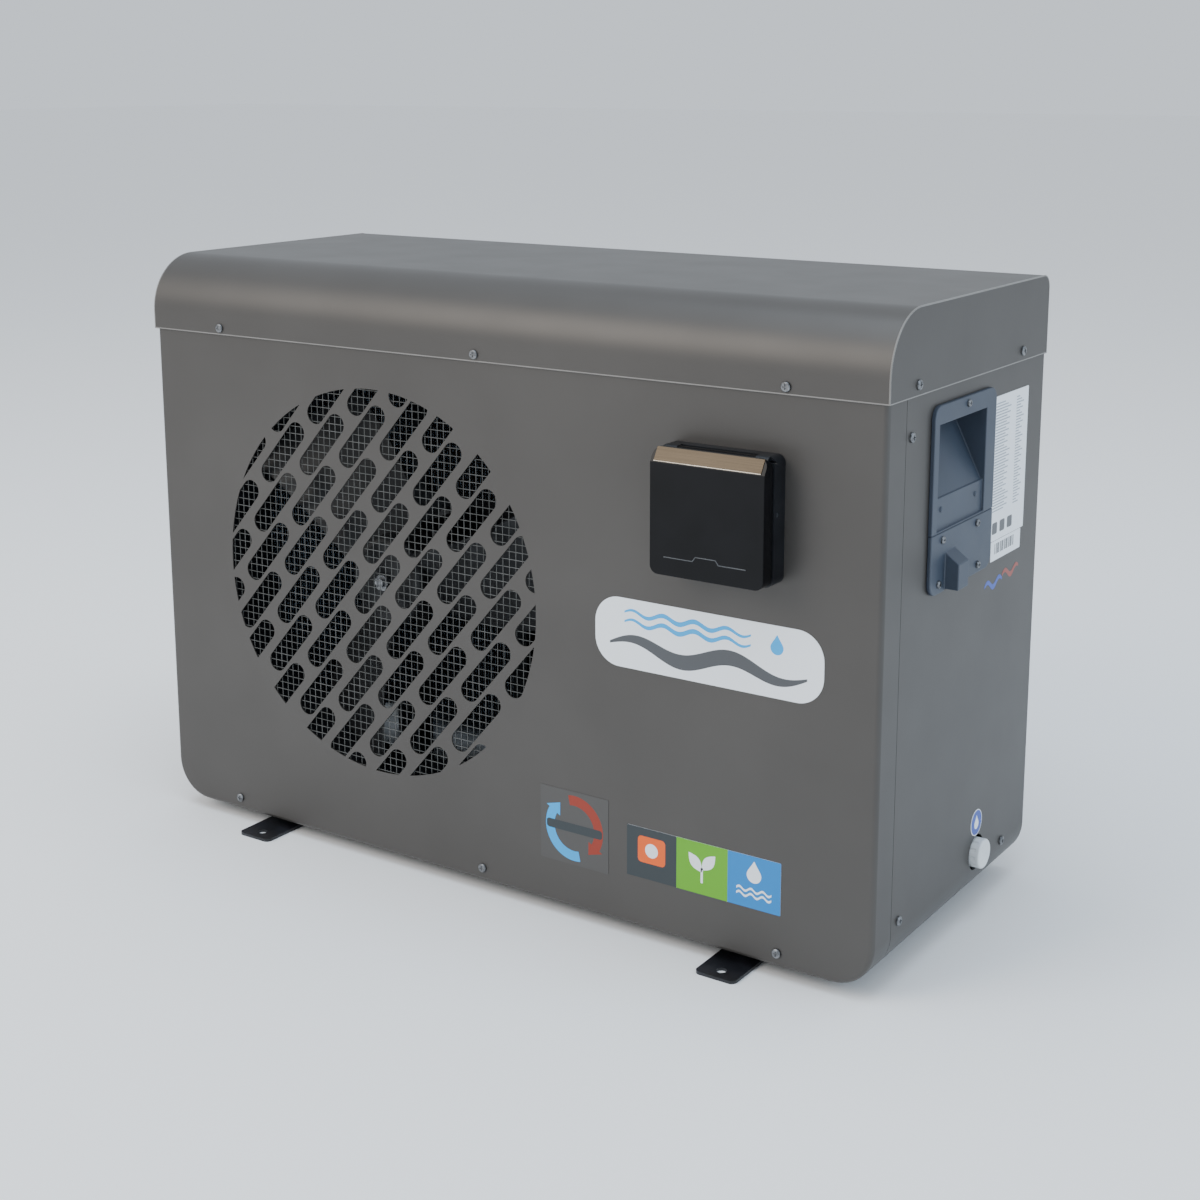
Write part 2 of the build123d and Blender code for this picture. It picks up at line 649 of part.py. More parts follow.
def circuit_board():
    """The power board on its standoffs, with the tall parts it carries."""
    z = TRAY_Z + SHEET + 6
    board = span_box((130, 330), (-130, 40), (z, z + 1.6))
    for x in (140, 320):
        for y in (-120, 30):
            board += rod_z(x, y, 3, TRAY_Z + SHEET, z)
    board += span_box((150, 200), (-110, -60), (z + 1.6, z + 22))
    board += span_box((220, 240), (-40, 20), (z + 1.6, z + 14))
    for i in range(4):
        board += rod_z(262 + i * 18, -90, 8, z + 1.6, z + 24)
    return board


def run_capacitor():
    return fillet(rod_x(80, TRAY_Z + SHEET + 22, 22, 150, 260).edges().filter_by(GeomType.CIRCLE), 3)


def contactor():
    block = span_box((345, 400), (-110, -50), (TRAY_Z + SHEET, TRAY_Z + 42))
    return block - span_box((344, 401), (-88, -72), (TRAY_Z + 32, TRAY_Z + 43))


def terminal_block():
    """Screw terminals for the supply, on the inside of the right panel."""
    x1 = SIDE_X - SHEET
    block = span_box((x1 - 22, x1), (-20, 44), (FOOT_H + 345, FOOT_H + 385))
    for i in range(5):
        y = -11 + i * 11.5
        block -= span_box((x1 - 23, x1 - 14), (y - 4, y + 4), (FOOT_H + 350, FOOT_H + 380))
    return block


def pocket_section(grow):
    """The hand pocket's outline in (x, z): a slope inwards, then straight up to the finger space."""
    back = SIDE_X - POCKET_DEPTH - grow
    low = SLOPE_Z - grow * 1.5
    top = FINGER_TOP + grow
    outline = [(SIDE_X + 9, low), (SIDE_X, low), (back, POCKET_Z[1] - 4), (back, top), (SIDE_X + 9, top)]
    return make_face(Polyline(*outline, close=True))


def handle_plate():
    """A moulded plate with a hand pocket that slopes into the casing."""
    face = frame_rect(PLATE_Y, PLATE_Z, PLATE_R) & frame_rect(PLATE_Y, (PLATE_SPLIT + 0.3, PLATE_Z[1]))
    plate = along_x(face, SIDE_X, SIDE_X + PLATE_T)
    wall = (POCKET_Y[0] - POCKET_WALL, POCKET_Y[1] + POCKET_WALL)
    tub = along_y(pocket_section(POCKET_WALL), *wall) & span_box((0, SIDE_X + 1), wall, (0, TOP_Z))
    plate += tub
    lip = span_box((SIDE_X - 1, SIDE_X + 10), POCKET_Y, (POCKET_Z[1], FINGER_TOP + 1))
    plate -= along_y(pocket_section(0), *POCKET_Y) - lip
    shallow = frame_rect(POCKET_Y, (POCKET_Z[0], SLOPE_Z + 1), 0)
    plate -= along_x(shallow, SIDE_X + 1.5, SIDE_X + PLATE_T + 1)
    return plate


def cable_cover():
    """The lower half of the plate, with a hood that lets the cable out downwards."""
    face = frame_rect(PLATE_Y, PLATE_Z, PLATE_R) & frame_rect(PLATE_Y, (PLATE_Z[0], PLATE_SPLIT))
    plate = along_x(face, SIDE_X, SIDE_X + PLATE_T)
    out = SIDE_X + HOOD_OUT
    outline = [(SIDE_X + 1, HOOD_Z[0]), (out, HOOD_Z[0]), (out, HOOD_Z[1] - HOOD_DROP), (SIDE_X + 1, HOOD_Z[1])]
    plate += along_y(make_face(Polyline(*outline, close=True)), *HOOD_Y)
    w = HOOD_WALL
    hole = [(SIDE_X - 1, PLATE_Z[0] + 4), (SIDE_X + PLATE_T, PLATE_Z[0] - 5), (out - w, PLATE_Z[0] - 5)]
    hole += [(out - w, HOOD_Z[1] - HOOD_DROP - w), (SIDE_X - 1, HOOD_Z[1] - w)]
    return plate - along_y(make_face(Polyline(*hole, close=True)), HOOD_Y[0] + w, HOOD_Y[1] - w)


def controller_base():
    """The controller's box: a keypad face, with hinge lugs at the top."""
    half = CTRL_W / 2
    outline = frame_rect((CTRL_X - half, CTRL_X + half), CTRL_Z, CTRL_R)
    base = along_y(outline, BASE_Y, FRONT_Y)
    corner = span_box((CTRL_X - half - 1, CTRL_X + half + 1), (BASE_Y - 1, HINGE_Y), (HINGE_Z, CTRL_Z[1] + 1))
    base -= corner
    for side in (-1, 1):
        x = (CTRL_X + side * (BARREL_HALF + 0.4), CTRL_X + side * (half - 6))
        base += rod_x(HINGE_Y, HINGE_Z, LUG_R, *sorted(x))
    notch = (CTRL_X - BARREL_HALF - 0.4, CTRL_X + BARREL_HALF + 0.4)
    base -= span_box(notch, (BASE_Y - 6, HINGE_Y + LUG_R), (HINGE_Z - LUG_R, CTRL_Z[1] + 1))
    base -= rod_x(HINGE_Y, HINGE_Z, PIN_R, CTRL_X - half - 1, CTRL_X + half + 1)
    for x in button_places():
        base -= rod_y(x, BUTTON_Z, BUTTON_R + BUTTON_GAP, BASE_Y - 1, BASE_Y + 5)
    return base - span_box(DISPLAY_X, (BASE_Y - 1, BASE_Y + LENS_SEAT), DISPLAY_Z)


def display_lens():
    return span_box(DISPLAY_X, (BASE_Y - 0.1, BASE_Y + LENS_SEAT), DISPLAY_Z)


def button_places():
    first = CTRL_X - BUTTON_STEP * (len(BUTTON_NAMES) - 1) / 2
    return [first + i * BUTTON_STEP for i in range(len(BUTTON_NAMES))]


def button(x):
    cap = rod_y(x, BUTTON_Z, BUTTON_R, BASE_Y - 2.2, BASE_Y + 2.5)
    return fillet(cap.edges().sort_by(Axis.Y)[0], 0.8)


def controller_cover():
    """A smoked lid over the keypad, on a barrel that turns round the hinge pin."""
    half = CTRL_W / 2 - 1
    width = (CTRL_X - half, CTRL_X + half)
    cover = along_y(frame_rect(width, (CTRL_Z[0] + 1, CTRL_Z[1]), CTRL_R), COVER_FRONT, COVER_BACK)
    bevel = [(COVER_FRONT - 1, CTRL_Z[1] + 1), (COVER_FRONT - 1, STRIP_Z), (COVER_FRONT, STRIP_Z)]
    bevel += [(STRIP_BACK, CTRL_Z[1]), (STRIP_BACK, CTRL_Z[1] + 1)]
    cover -= along_x(make_face(Polyline(*bevel, close=True)), width[0] - 1, width[1] + 1)
    back = [(STRIP_BACK + 1, CTRL_Z[1] + 1), (STRIP_BACK + 1, CTRL_Z[1]), (HINGE_Y - LUG_R - 0.5, HINGE_Z)]
    back += [(COVER_BACK + 1, HINGE_Z), (COVER_BACK + 1, CTRL_Z[1] + 1)]
    cover -= along_x(make_face(Polyline(*back, close=True)), width[0] - 1, width[1] + 1)
    inside = frame_rect((width[0] + 2.5, width[1] - 2.5), (CTRL_Z[0] + 3.5, STRIP_Z - 3), CTRL_R - 3)
    cover -= along_y(inside, COVER_FRONT + 2.5, COVER_BACK + 1)
    cover -= rod_x(HINGE_Y, HINGE_Z, LUG_R + 0.5, width[0] - 1, width[1] + 1)
    barrel = (CTRL_X - BARREL_HALF, CTRL_X + BARREL_HALF)
    cover += rod_x(HINGE_Y, HINGE_Z, BARREL_R, *barrel)
    cover += span_box(barrel, (HINGE_Y - LUG_R - 3, HINGE_Y - 2), (HINGE_Z - 2.5, HINGE_Z - 0.2))
    return cover - rod_x(HINGE_Y, HINGE_Z, PIN_R + RUN_FIT, width[0] - 1, width[1] + 1)


def cover_trim():
    """The bright strip on the bevel above the cover's front."""
    run = Vector(0, STRIP_BACK - COVER_FRONT, CTRL_Z[1] - STRIP_Z)
    out = Vector(0, -run.Z, run.Y).normalized() * 0.6
    low = Vector(0, COVER_FRONT, STRIP_Z) + run * 0.06
    high = Vector(0, COVER_FRONT, STRIP_Z) + run * 0.94
    corners = [low, high, high + out, low + out]
    outline = make_face(Polyline(*[(c.Y, c.Z) for c in corners], close=True))
    return along_x(outline, CTRL_X - STRIP_HALF, CTRL_X + STRIP_HALF)


def hinge_pin():
    half = CTRL_W / 2 - 7
    return rod_x(HINGE_Y, HINGE_Z, PIN_R, CTRL_X - half, CTRL_X + half)


def screw(radius):
    """A pan head screw, head up along +Z, its head's underside at zero."""
    head = fillet((Pos(0, 0, HEAD_H / 2) * Cylinder(radius, HEAD_H)).edges().sort_by(Axis.Z)[-1], HEAD_H * 0.6)
    head -= Pos(0, 0, HEAD_H) * (Box(radius, 1, 1.6) + Box(1, radius, 1.6))
    return head + Pos(0, 0, -SHANK_L / 2) * Cylinder(SHANK_R, SHANK_L)


def casing_screws():
    """The screws of the lid, the front, the side panels and the rear panel."""
    seat = FRONT_Y - LID_LAP
    lid_z = SEAM_Z + 7
    low_z = FOOT_H + 13.6
    front = Rot(90, 0, 0)
    back = Rot(-90, 0, 0)
    right = Rot(0, 90, 0)
    left = Rot(0, -90, 0)
    spots = [Pos(x, seat, lid_z) * front for x in (-331, 0, 331)]
    spots += [Pos(x, -seat, lid_z) * back for x in (-331, 0, 331)]
    spots += [Pos(x, FRONT_Y, low_z) * front for x in (-331, 0, 331)]
    for y in (-119.0, 112.0):
        spots.append(Pos(SIDE_X + LID_LAP, y, lid_z + 3) * right)
        spots.append(Pos(-SIDE_X - LID_LAP, y, lid_z + 3) * left)
    for y, z in ((-134 + 8, 487.0), (-134 + 12, 50.0), (114.0, 42.0)):
        spots.append(Pos(SIDE_X, y, FOOT_H + z) * right)
    for z in (50.0, 487.0):
        spots.append(Pos(-SIDE_X, -126, FOOT_H + z) * left)
    for x, z in ((150, 70), (400, 70), (150, 500), (400, 500), (150, 285), (400, 285)):
        spots.append(Pos(x, BACK_Y, z) * back)
    shape = screw(HEAD_R)
    return [spot * shape for spot in spots]


def handle_screws():
    """The small screws of the handle plate and the cable cover."""
    small = screw(3.4)
    places = [(-17, 500.6), (-64, 386), (12, 386), (-70, 347), (16.5, 346)]
    return [Pos(SIDE_X + PLATE_T, y, FOOT_H + z) * Rot(0, 90, 0) * small for y, z in places]


def front_labels():
    """Plain stickers on the front: a long badge, a round mark and a strip of three squares."""
    badge = frame_rect((136, 372), (FOOT_H + 252, FOOT_H + 318), 26)
    mark = frame_rect((72, 150), (FOOT_H + 44, FOOT_H + 118), 1)
    strip = frame_rect((171, 334), (FOOT_H + 50, FOOT_H + 100), 1)
    return [along_y(s, FRONT_Y - LABEL_T, FRONT_Y) for s in (badge, mark, strip)]


def side_labels():
    """Plain stickers on the right side: a data plate, a small plate and a round mark."""
    plate = frame_rect((51, 135), (FOOT_H + 357.5, FOOT_H + 495), 1)
    small = frame_rect((57, 129), (FOOT_H + 338, FOOT_H + 357), 1)
    mark = Pos(49.5, FOOT_H + 83) * Circle(13)
    return [along_x(s, SIDE_X, SIDE_X + LABEL_T) for s in (plate, small, mark)]


def build():
    """Every node of the unit, by name."""
    nodes = {
        "base_pan": base_pan(),
        "foot_rail_left": foot_rail(-RAIL_X),
        "foot_rail_right": foot_rail(RAIL_X),
        "front_panel": front_panel(),
        "right_side_panel": right_side_panel(),
        "left_side_panel": left_side_panel(),
        "rear_panel": rear_panel(),
        "top_cover": top_cover(),
        "left_guard": left_guard(),
        "rear_guard": rear_guard(),
        "partition": partition(),
        "mesh_screen": mesh_screen(),
        "fan_shroud": fan_shroud(),
        "fan_blade": fan_blade(),
        "fan_shaft": fan_shaft(),
        "fan_nut": fan_nut(),
        "fan_motor": fan_motor(),
        "motor_bracket": motor_bracket(),
        "evaporator_coil": evaporator_coil(),
        "coil_bends": coil_bends(),
        "compressor": compressor(),
        "compressor_grommets": compressor_grommets(),
        "compressor_bolts": compressor_bolts(),
        "accumulator": accumulator(),
        "heat_exchanger": heat_exchanger(),
        "four_way_valve": four_way_valve(),
        "discharge_pipe": discharge_pipe(),
        "suction_pipe": suction_pipe(),
        "exchanger_gas_pipe": exchanger_gas_pipe(),
        "coil_gas_pipe": coil_gas_pipe(),
        "liquid_line": liquid_line(),
        "inlet_spigot": water_spigot(INLET_Z),
        "outlet_spigot": water_spigot(OUTLET_Z),
        "inlet_tail": union_tail(INLET_Z),
        "outlet_tail": union_tail(OUTLET_Z),
        "inlet_nut": union_nut(INLET_Z),
        "outlet_nut": union_nut(OUTLET_Z),
        "flow_switch": flow_switch(),
        "drain_spout": drain_spout(),
        "drain_cap": drain_cap(),
        "electrical_tray": electrical_tray(),
        "circuit_board": circuit_board(),
        "run_capacitor": run_capacitor(),
        "contactor": contactor(),
        "terminal_block": terminal_block(),
        "handle_plate": handle_plate(),
        "cable_cover": cable_cover(),
        "controller_base": controller_base(),
        "display_lens": display_lens(),
        "controller_cover": controller_cover(),
        "cover_trim": cover_trim(),
        "hinge_pin": hinge_pin(),
        "casing_screws": casing_screws(),
        "handle_screws": handle_screws(),
        "front_labels": front_labels(),
        "side_labels": side_labels(),
    }
    for name, x in zip(BUTTON_NAMES, button_places()):
        nodes[f"button_{name}"] = button(x)
    return nodes


def as_one(shape):
    """A list of separate pieces becomes one compound."""
    return Compound(children=list(shape)) if isinstance(shape, list) else shape


os.makedirs("parts", exist_ok=True)
for node, shape in build().items():
    export_step(as_one(shape), f"parts/{node}.step")
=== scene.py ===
import json
import math

import bmesh
import bpy
from mathutils import Matrix, Vector


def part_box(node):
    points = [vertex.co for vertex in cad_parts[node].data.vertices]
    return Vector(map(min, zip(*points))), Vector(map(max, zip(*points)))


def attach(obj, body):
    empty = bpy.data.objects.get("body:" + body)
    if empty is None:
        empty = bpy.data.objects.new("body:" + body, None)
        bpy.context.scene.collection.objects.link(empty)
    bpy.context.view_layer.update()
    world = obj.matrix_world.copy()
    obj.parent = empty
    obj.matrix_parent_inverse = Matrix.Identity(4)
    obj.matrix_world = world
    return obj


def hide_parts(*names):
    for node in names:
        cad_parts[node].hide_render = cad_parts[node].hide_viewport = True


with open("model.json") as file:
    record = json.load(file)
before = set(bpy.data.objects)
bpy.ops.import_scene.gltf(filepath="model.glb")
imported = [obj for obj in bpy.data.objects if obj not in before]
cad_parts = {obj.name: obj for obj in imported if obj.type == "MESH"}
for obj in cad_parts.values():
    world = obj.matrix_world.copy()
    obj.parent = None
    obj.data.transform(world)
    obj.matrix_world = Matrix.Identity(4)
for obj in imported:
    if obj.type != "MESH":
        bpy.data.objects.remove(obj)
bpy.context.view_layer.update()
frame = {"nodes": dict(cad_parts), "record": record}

bl_info = {
    "name": "Pool heat pump finish",
    "version": (1, 0, 0),
    "blender": (4, 5, 0),
    "location": "3D View > Sidebar > Heat pump",
    "description": "Finishes the packed model of a pool heat pump: paint, mesh, fins, stickers and stage",
    "category": "Object",
}

BODY_OF = {n: body for body, names in frame["record"]["behaviour"]["bodies"].items() for n in names}
SLOT_OF = {part["node"]: part["material_slot"] for part in frame["record"]["subparts"]}

MM = 0.001
FRONT_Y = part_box("front_panel")[0].y
SIDE_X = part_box("right_side_panel")[1].x
CASE_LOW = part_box("front_panel")[0].z
LID_LOW, LID_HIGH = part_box("top_cover")
LID_FRONT_R = 57 * MM
LID_BACK_R = 13 * MM
BEAD = 0.8 * MM
COIL_THICKNESS = 38 * MM


# ---------------------------------------------------------------- small tools


def linear(code):
    """An sRGB hex colour as linear RGBA."""
    parts = [int(code[i:i + 2], 16) / 255 for i in (1, 3, 5)]
    return tuple(c / 12.92 if c <= 0.04045 else ((c + 0.055) / 1.055) ** 2.4 for c in parts) + (1.0,)


def add_node(tree, kind, inputs=None, links=None, **settings):
    """Adds one node with its settings, socket values and incoming links."""
    node = tree.nodes.new(kind)
    for key, value in settings.items():
        setattr(node, key, value)
    for key, value in (inputs or {}).items():
        node.inputs[key].default_value = value
    for key, source in (links or {}).items():
        tree.links.new(source, node.inputs[key])
    return node


def material(name, **sockets):
    """A material with one Principled BSDF; sockets are its constants, with _ for a space."""
    made = bpy.data.materials.new(name)
    made.use_nodes = True
    shader = made.node_tree.nodes["Principled BSDF"]
    for key, value in sockets.items():
        shader.inputs[key.replace("_", " ")].default_value = value
    return made, made.node_tree, shader


def mottle(tree, shader, light, dark, size, low=0.35, high=0.65):
    """Base colour that drifts between two tones; size is the patch width in metres."""
    place = add_node(tree, "ShaderNodeTexCoord").outputs["Object"]
    noise = add_node(tree, "ShaderNodeTexNoise", {"Scale": 1 / size, "Detail": 3.0}, {"Vector": place})
    ramp = add_node(tree, "ShaderNodeValToRGB", links={"Fac": noise.outputs["Fac"]})
    ramp.color_ramp.elements[0].position = low
    ramp.color_ramp.elements[1].position = high
    ramp.color_ramp.elements[0].color = linear(dark)
    ramp.color_ramp.elements[1].color = linear(light)
    tree.links.new(ramp.outputs["Color"], shader.inputs["Base Color"])


def relief(tree, shader, size, height, detail=2.0):
    """Fine bumps; size is their spacing and height their depth, in metres."""
    place = add_node(tree, "ShaderNodeTexCoord").outputs["Object"]
    noise = add_node(tree, "ShaderNodeTexNoise", {"Scale": 1 / size, "Detail": detail}, {"Vector": place})
    values = {"Distance": height, "Strength": 1.0}
    bump = add_node(tree, "ShaderNodeBump", values, {"Height": noise.outputs["Fac"]})
    tree.links.new(bump.outputs["Normal"], shader.inputs["Normal"])


def wear(tree, shader, size, low, high):
    """Roughness that varies in soft patches between two values."""
    place = add_node(tree, "ShaderNodeTexCoord").outputs["Object"]
    noise = add_node(tree, "ShaderNodeTexNoise", {"Scale": 1 / size, "Detail": 4.0}, {"Vector": place})
    values = {"To Min": low, "To Max": high}
    spread = add_node(tree, "ShaderNodeMapRange", values, {"Value": noise.outputs["Fac"]})
    tree.links.new(spread.outputs["Result"], shader.inputs["Roughness"])


# ---------------------------------------------------------------- materials


def powder_coat():
    """Metallic polyester powder coat on steel: fine orange peel, soft sheen, faint drift of tone."""
    made, tree, shader = material("powder_coated_steel", Metallic=0.45, Roughness=0.42)
    mottle(tree, shader, "#504D4A", "#4C4946", 160 * MM)
    wear(tree, shader, 60 * MM, 0.40, 0.48)
    relief(tree, shader, 1.6 * MM, 0.03 * MM)
    return made


def black_steel():
    """Black enamel on bent steel strip: semi-gloss, slightly uneven."""
    made, tree, shader = material("black_enamelled_steel", Metallic=0.0, Roughness=0.35)
    mottle(tree, shader, "#23242A", "#121317", 30 * MM)
    wear(tree, shader, 14 * MM, 0.28, 0.5)
    relief(tree, shader, 3 * MM, 0.12 * MM)
    return made


def galvanised():
    """Hot-dip galvanised sheet: pale zinc with a faint spangle, drawn 12 mm wide."""
    made, tree, shader = material("galvanised_steel", Metallic=1.0, Roughness=0.42)
    place = add_node(tree, "ShaderNodeTexCoord").outputs["Object"]
    cells = add_node(tree, "ShaderNodeTexVoronoi", {"Scale": 1 / (12 * MM)}, {"Vector": place})
    ramp = add_node(tree, "ShaderNodeValToRGB", links={"Fac": cells.outputs["Color"]})
    ramp.color_ramp.elements[0].color = linear("#8C9093")
    ramp.color_ramp.elements[1].color = linear("#A9ADB0")
    tree.links.new(ramp.outputs["Color"], shader.inputs["Base Color"])
    return made


def zinc_wire():
    """Welded mesh of zinc-coated wire: bright grey, a little dull."""
    made, tree, shader = material("zinc_coated_wire", Metallic=0.6, Roughness=0.5)
    mottle(tree, shader, "#6E6E6C", "#565755", 25 * MM)
    return made


def zinc_screw():
    """Zinc-plated screw heads: cool grey metal with small handling marks."""
    made, tree, shader = material("zinc_plated_screw", Metallic=1.0, Roughness=0.38)
    mottle(tree, shader, "#8B8C8E", "#5F6062", 4 * MM)
    relief(tree, shader, 0.8 * MM, 0.03 * MM)
    return made


def slate_plastic():
    """Slate blue ABS, moulded with a fine spark-eroded grain."""
    made, tree, shader = material("slate_moulded_abs", Roughness=0.5, IOR=1.54)
    mottle(tree, shader, "#363F4D", "#303946", 50 * MM)
    wear(tree, shader, 25 * MM, 0.42, 0.56)
    relief(tree, shader, 0.9 * MM, 0.05 * MM)
    return made


def gloss_black():
    """Polished black polycarbonate: deep, with a clear reflection and faint wipe marks."""
    made, tree, shader = material("polished_black_polycarbonate", Specular_IOR_Level=0.16, Roughness=0.08)
    mottle(tree, shader, "#0D0D10", "#08080A", 40 * MM)
    wear(tree, shader, 30 * MM, 0.05, 0.14)
    return made


def matt_black():
    """Moulded black ABS with a fine grain."""
    made, tree, shader = material("moulded_black_abs", Specular_IOR_Level=0.3, Roughness=0.4)
    mottle(tree, shader, "#1B1D21", "#141519", 30 * MM)
    relief(tree, shader, 0.9 * MM, 0.04 * MM)
    return made


def bright_strip():
    """Bronze-toned vacuum-metallised strip, brushed along its length."""
    made, tree, shader = material("bronze_metallised_strip", Metallic=1.0, Roughness=0.18)
    place = add_node(tree, "ShaderNodeTexCoord").outputs["Object"]
    along = add_node(tree, "ShaderNodeMapping", {"Scale": (20.0, 2500.0, 2500.0)}, {"Vector": place})
    grain = add_node(tree, "ShaderNodeTexNoise", {"Scale": 1.0}, {"Vector": along.outputs["Vector"]})
    ramp = add_node(tree, "ShaderNodeValToRGB", links={"Fac": grain.outputs["Fac"]})
    ramp.color_ramp.elements[0].color = linear("#2F2A24")
    ramp.color_ramp.elements[1].color = linear("#4F473D")
    tree.links.new(ramp.outputs["Color"], shader.inputs["Base Color"])
    return made


def plain_plastic(name, light, dark, roughness, grain=0.8):
    """A moulded plastic with a slight drift of tone and a fine grain in millimetres."""
    made, tree, shader = material(name, IOR=1.5, Roughness=roughness)
    mottle(tree, shader, light, dark, 30 * MM)
    wear(tree, shader, 20 * MM, roughness - 0.06, roughness + 0.06)
    relief(tree, shader, grain * MM, 0.03 * MM)
    return made


def plain_metal(name, light, dark, roughness):
    """A bare metal with handling marks."""
    made, tree, shader = material(name, Metallic=1.0, Roughness=roughness)
    mottle(tree, shader, light, dark, 18 * MM)
    wear(tree, shader, 12 * MM, roughness - 0.08, roughness + 0.1)
    return made


def fin_stock():
    """Aluminium fins with a blue hydrophilic coating: even in tone, with a soft sheen."""
    made, tree, shader = material("blue_coated_fin_aluminium", Metallic=0.3, Roughness=0.4)
    mottle(tree, shader, "#9DB4C9", "#8FA7BD", 120 * MM)
    wear(tree, shader, 40 * MM, 0.36, 0.46)
    return made


def shell_paint():
    """Semi-gloss black paint on a welded pressure shell."""
    made, tree, shader = material("black_painted_shell", Roughness=0.35)
    mottle(tree, shader, "#1A1B1E", "#101114", 60 * MM)
    relief(tree, shader, 2 * MM, 0.06 * MM)
    return made


def printed_film(name, code, roughness=0.3):
    """Printed vinyl film: flat ink under a thin clear laminate."""
    made, tree, shader = material(name, IOR=1.46, Roughness=roughness)
    mottle(tree, shader, code, code, 60 * MM)
    relief(tree, shader, 6 * MM, 0.02 * MM, 1.0)
    return made


def make_materials():
    """Every finish, by the record's material slot or by its own use."""
    return {
        "casing_paint": powder_coat(),
        # Lighter paint tone for the lid's seam and hem beads: painted highlight where those edges catch the
        # light.
        "paint_edge_highlight": plain_plastic("powder_coat_edge_painted_highlight", "#7E7B77", "#75726E", 0.35),
        "black_steel": black_steel(),
        "galvanised": galvanised(),
        "screw_steel": zinc_screw(),
        "wire": zinc_wire(),
        "dull_zinc": plain_metal("dulled_zinc_bracket", "#3C3E40", "#2C2E30", 0.6),
        "slate_plastic": slate_plastic(),
        "black_gloss": gloss_black(),
        "black_matt": matt_black(),
        "trim": bright_strip(),
        # Pale metal tone for the bead on the strip's lower edge: a painted highlight of the strip.
        "trim_edge_highlight": plain_metal("strip_edge_painted_highlight", "#CFC6B8", "#B5AB9C", 0.2),
        "keys": plain_plastic("grey_silicone_key", "#9DA0A3", "#8E9194", 0.6),
        "display": plain_plastic("dark_display_lens", "#10161C", "#0C1116", 0.1),
        # The grey-blue fan plastic is drawn near black: painted shade of the dark casing inside, behind the
        # grille.
        "fan_plastic": plain_plastic("grey_blue_fan_polypropylene_in_painted_shade", "#0D0F12", "#090A0C", 0.55, 1.2),
        "motor_black": shell_paint(),
        "coil_core": plain_metal("copper_tubes_in_shade", "#4A4038", "#2C2724", 0.6),
        "coil_fins": fin_stock(),
        "copper": plain_metal("drawn_copper_tube", "#C67B58", "#9C5638", 0.32),
        "rubber": plain_plastic("black_nitrile_rubber", "#1D1D1D", "#141414", 0.75),
        "pvc_grey": plain_plastic("grey_pvc", "#6B7075", "#5D6266", 0.4, 1.5),
        "white_plastic": plain_plastic("white_moulded_nylon", "#E9ECEC", "#D9DEE0", 0.38),
        "board": plain_plastic("green_circuit_board", "#1F5B35", "#174628", 0.35),
        "capacitor_can": plain_metal("plain_aluminium_can", "#C3C5C7", "#A7A9AB", 0.35),
        "label_film": printed_film("white_printed_film", "#EDF1F5"),
        "ink_grey": printed_film("dark_grey_ink", "#4A4C4F"),
        "ink_pale": printed_film("mid_grey_ink", "#8D97A3"),
        "ink_sky": printed_film("sky_blue_ink", "#1FA3E6"),
        "ink_blue": printed_film("blue_ink", "#0A7CC4"),
        "ink_royal": printed_film("royal_blue_ink", "#1B45A8"),
        "ink_red": printed_film("brick_red_ink", "#8E2E1B"),
        "ink_orange": printed_film("orange_ink", "#E85F14"),
        "ink_green": printed_film("leaf_green_ink", "#5FA818"),
        "ink_dark": printed_film("charcoal_ink", "#2E3538"),
        "ink_clear": printed_film("tinted_clear_film", "#4A4846"),
    }


LOOKS = {}


def look(name):
    if not LOOKS:
        LOOKS.update(make_materials())
    return LOOKS[name]


# ---------------------------------------------------------------- making pieces


def piece_from_mesh(name, mesh, look_name, body, smooth=30.0):
    """A finished piece at the origin, riding on a CAD body."""
    made = bpy.data.objects.new(name, mesh)
    bpy.context.scene.collection.objects.link(made)
    if not mesh.materials:
        mesh.materials.append(look(look_name))
    mesh.shade_smooth()
    mesh.set_sharp_from_angle(angle=math.radians(smooth))
    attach(made, body)
    return made


def finish_node(node, look_name=None, smooth=30.0, soften=0.0):
    """A welded, smoothly shaded copy of a CAD node; soften rounds its sharp edges by that radius."""
    mesh = frame["nodes"][node].data.copy()
    if "custom_normal" in mesh.attributes:
        mesh.attributes.remove(mesh.attributes["custom_normal"])
    work = bmesh.new()
    work.from_mesh(mesh)
    bmesh.ops.remove_doubles(work, verts=work.verts, dist=0.002 * MM)
    bmesh.ops.dissolve_degenerate(work, edges=work.edges, dist=0.001 * MM)
    if soften:
        bmesh.ops.dissolve_limit(work, angle_limit=math.radians(1), verts=work.verts, edges=work.edges)
    work.to_mesh(mesh)
    work.free()
    mesh.materials.clear()
    slot = SLOT_OF[node]
    made = piece_from_mesh(node + "_finish", mesh, look_name or slot, BODY_OF[node], smooth)
    if soften:
        edge = made.modifiers.new("soft_edges", "BEVEL")
        edge.width = soften
        edge.segments = 3
        edge.limit_method = "ANGLE"
        edge.angle_limit = math.radians(35)
    weigh = made.modifiers.new("even_normals", "WEIGHTED_NORMAL")
    weigh.keep_sharp = True
    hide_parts(node)
    return made


def prism(outline, to_space, low, high):
    """A thin closed plate: outline is a list of (u, v), to_space maps (u, v, height)."""
    work = bmesh.new()
    ends = [[work.verts.new(to_space(u, v, h)) for u, v in outline] for h in (low, high)]
    count = len(outline)
    work.faces.new(ends[0])
    work.faces.new(ends[1][::-1])
    for i in range(count):
        j = (i + 1) % count
        work.faces.new((ends[0][j], ends[0][i], ends[1][i], ends[1][j]))
    bmesh.ops.recalc_face_normals(work, faces=work.faces)
    bmesh.ops.triangulate(work, faces=[f for f in work.faces if len(f.verts) > 4])
    return work


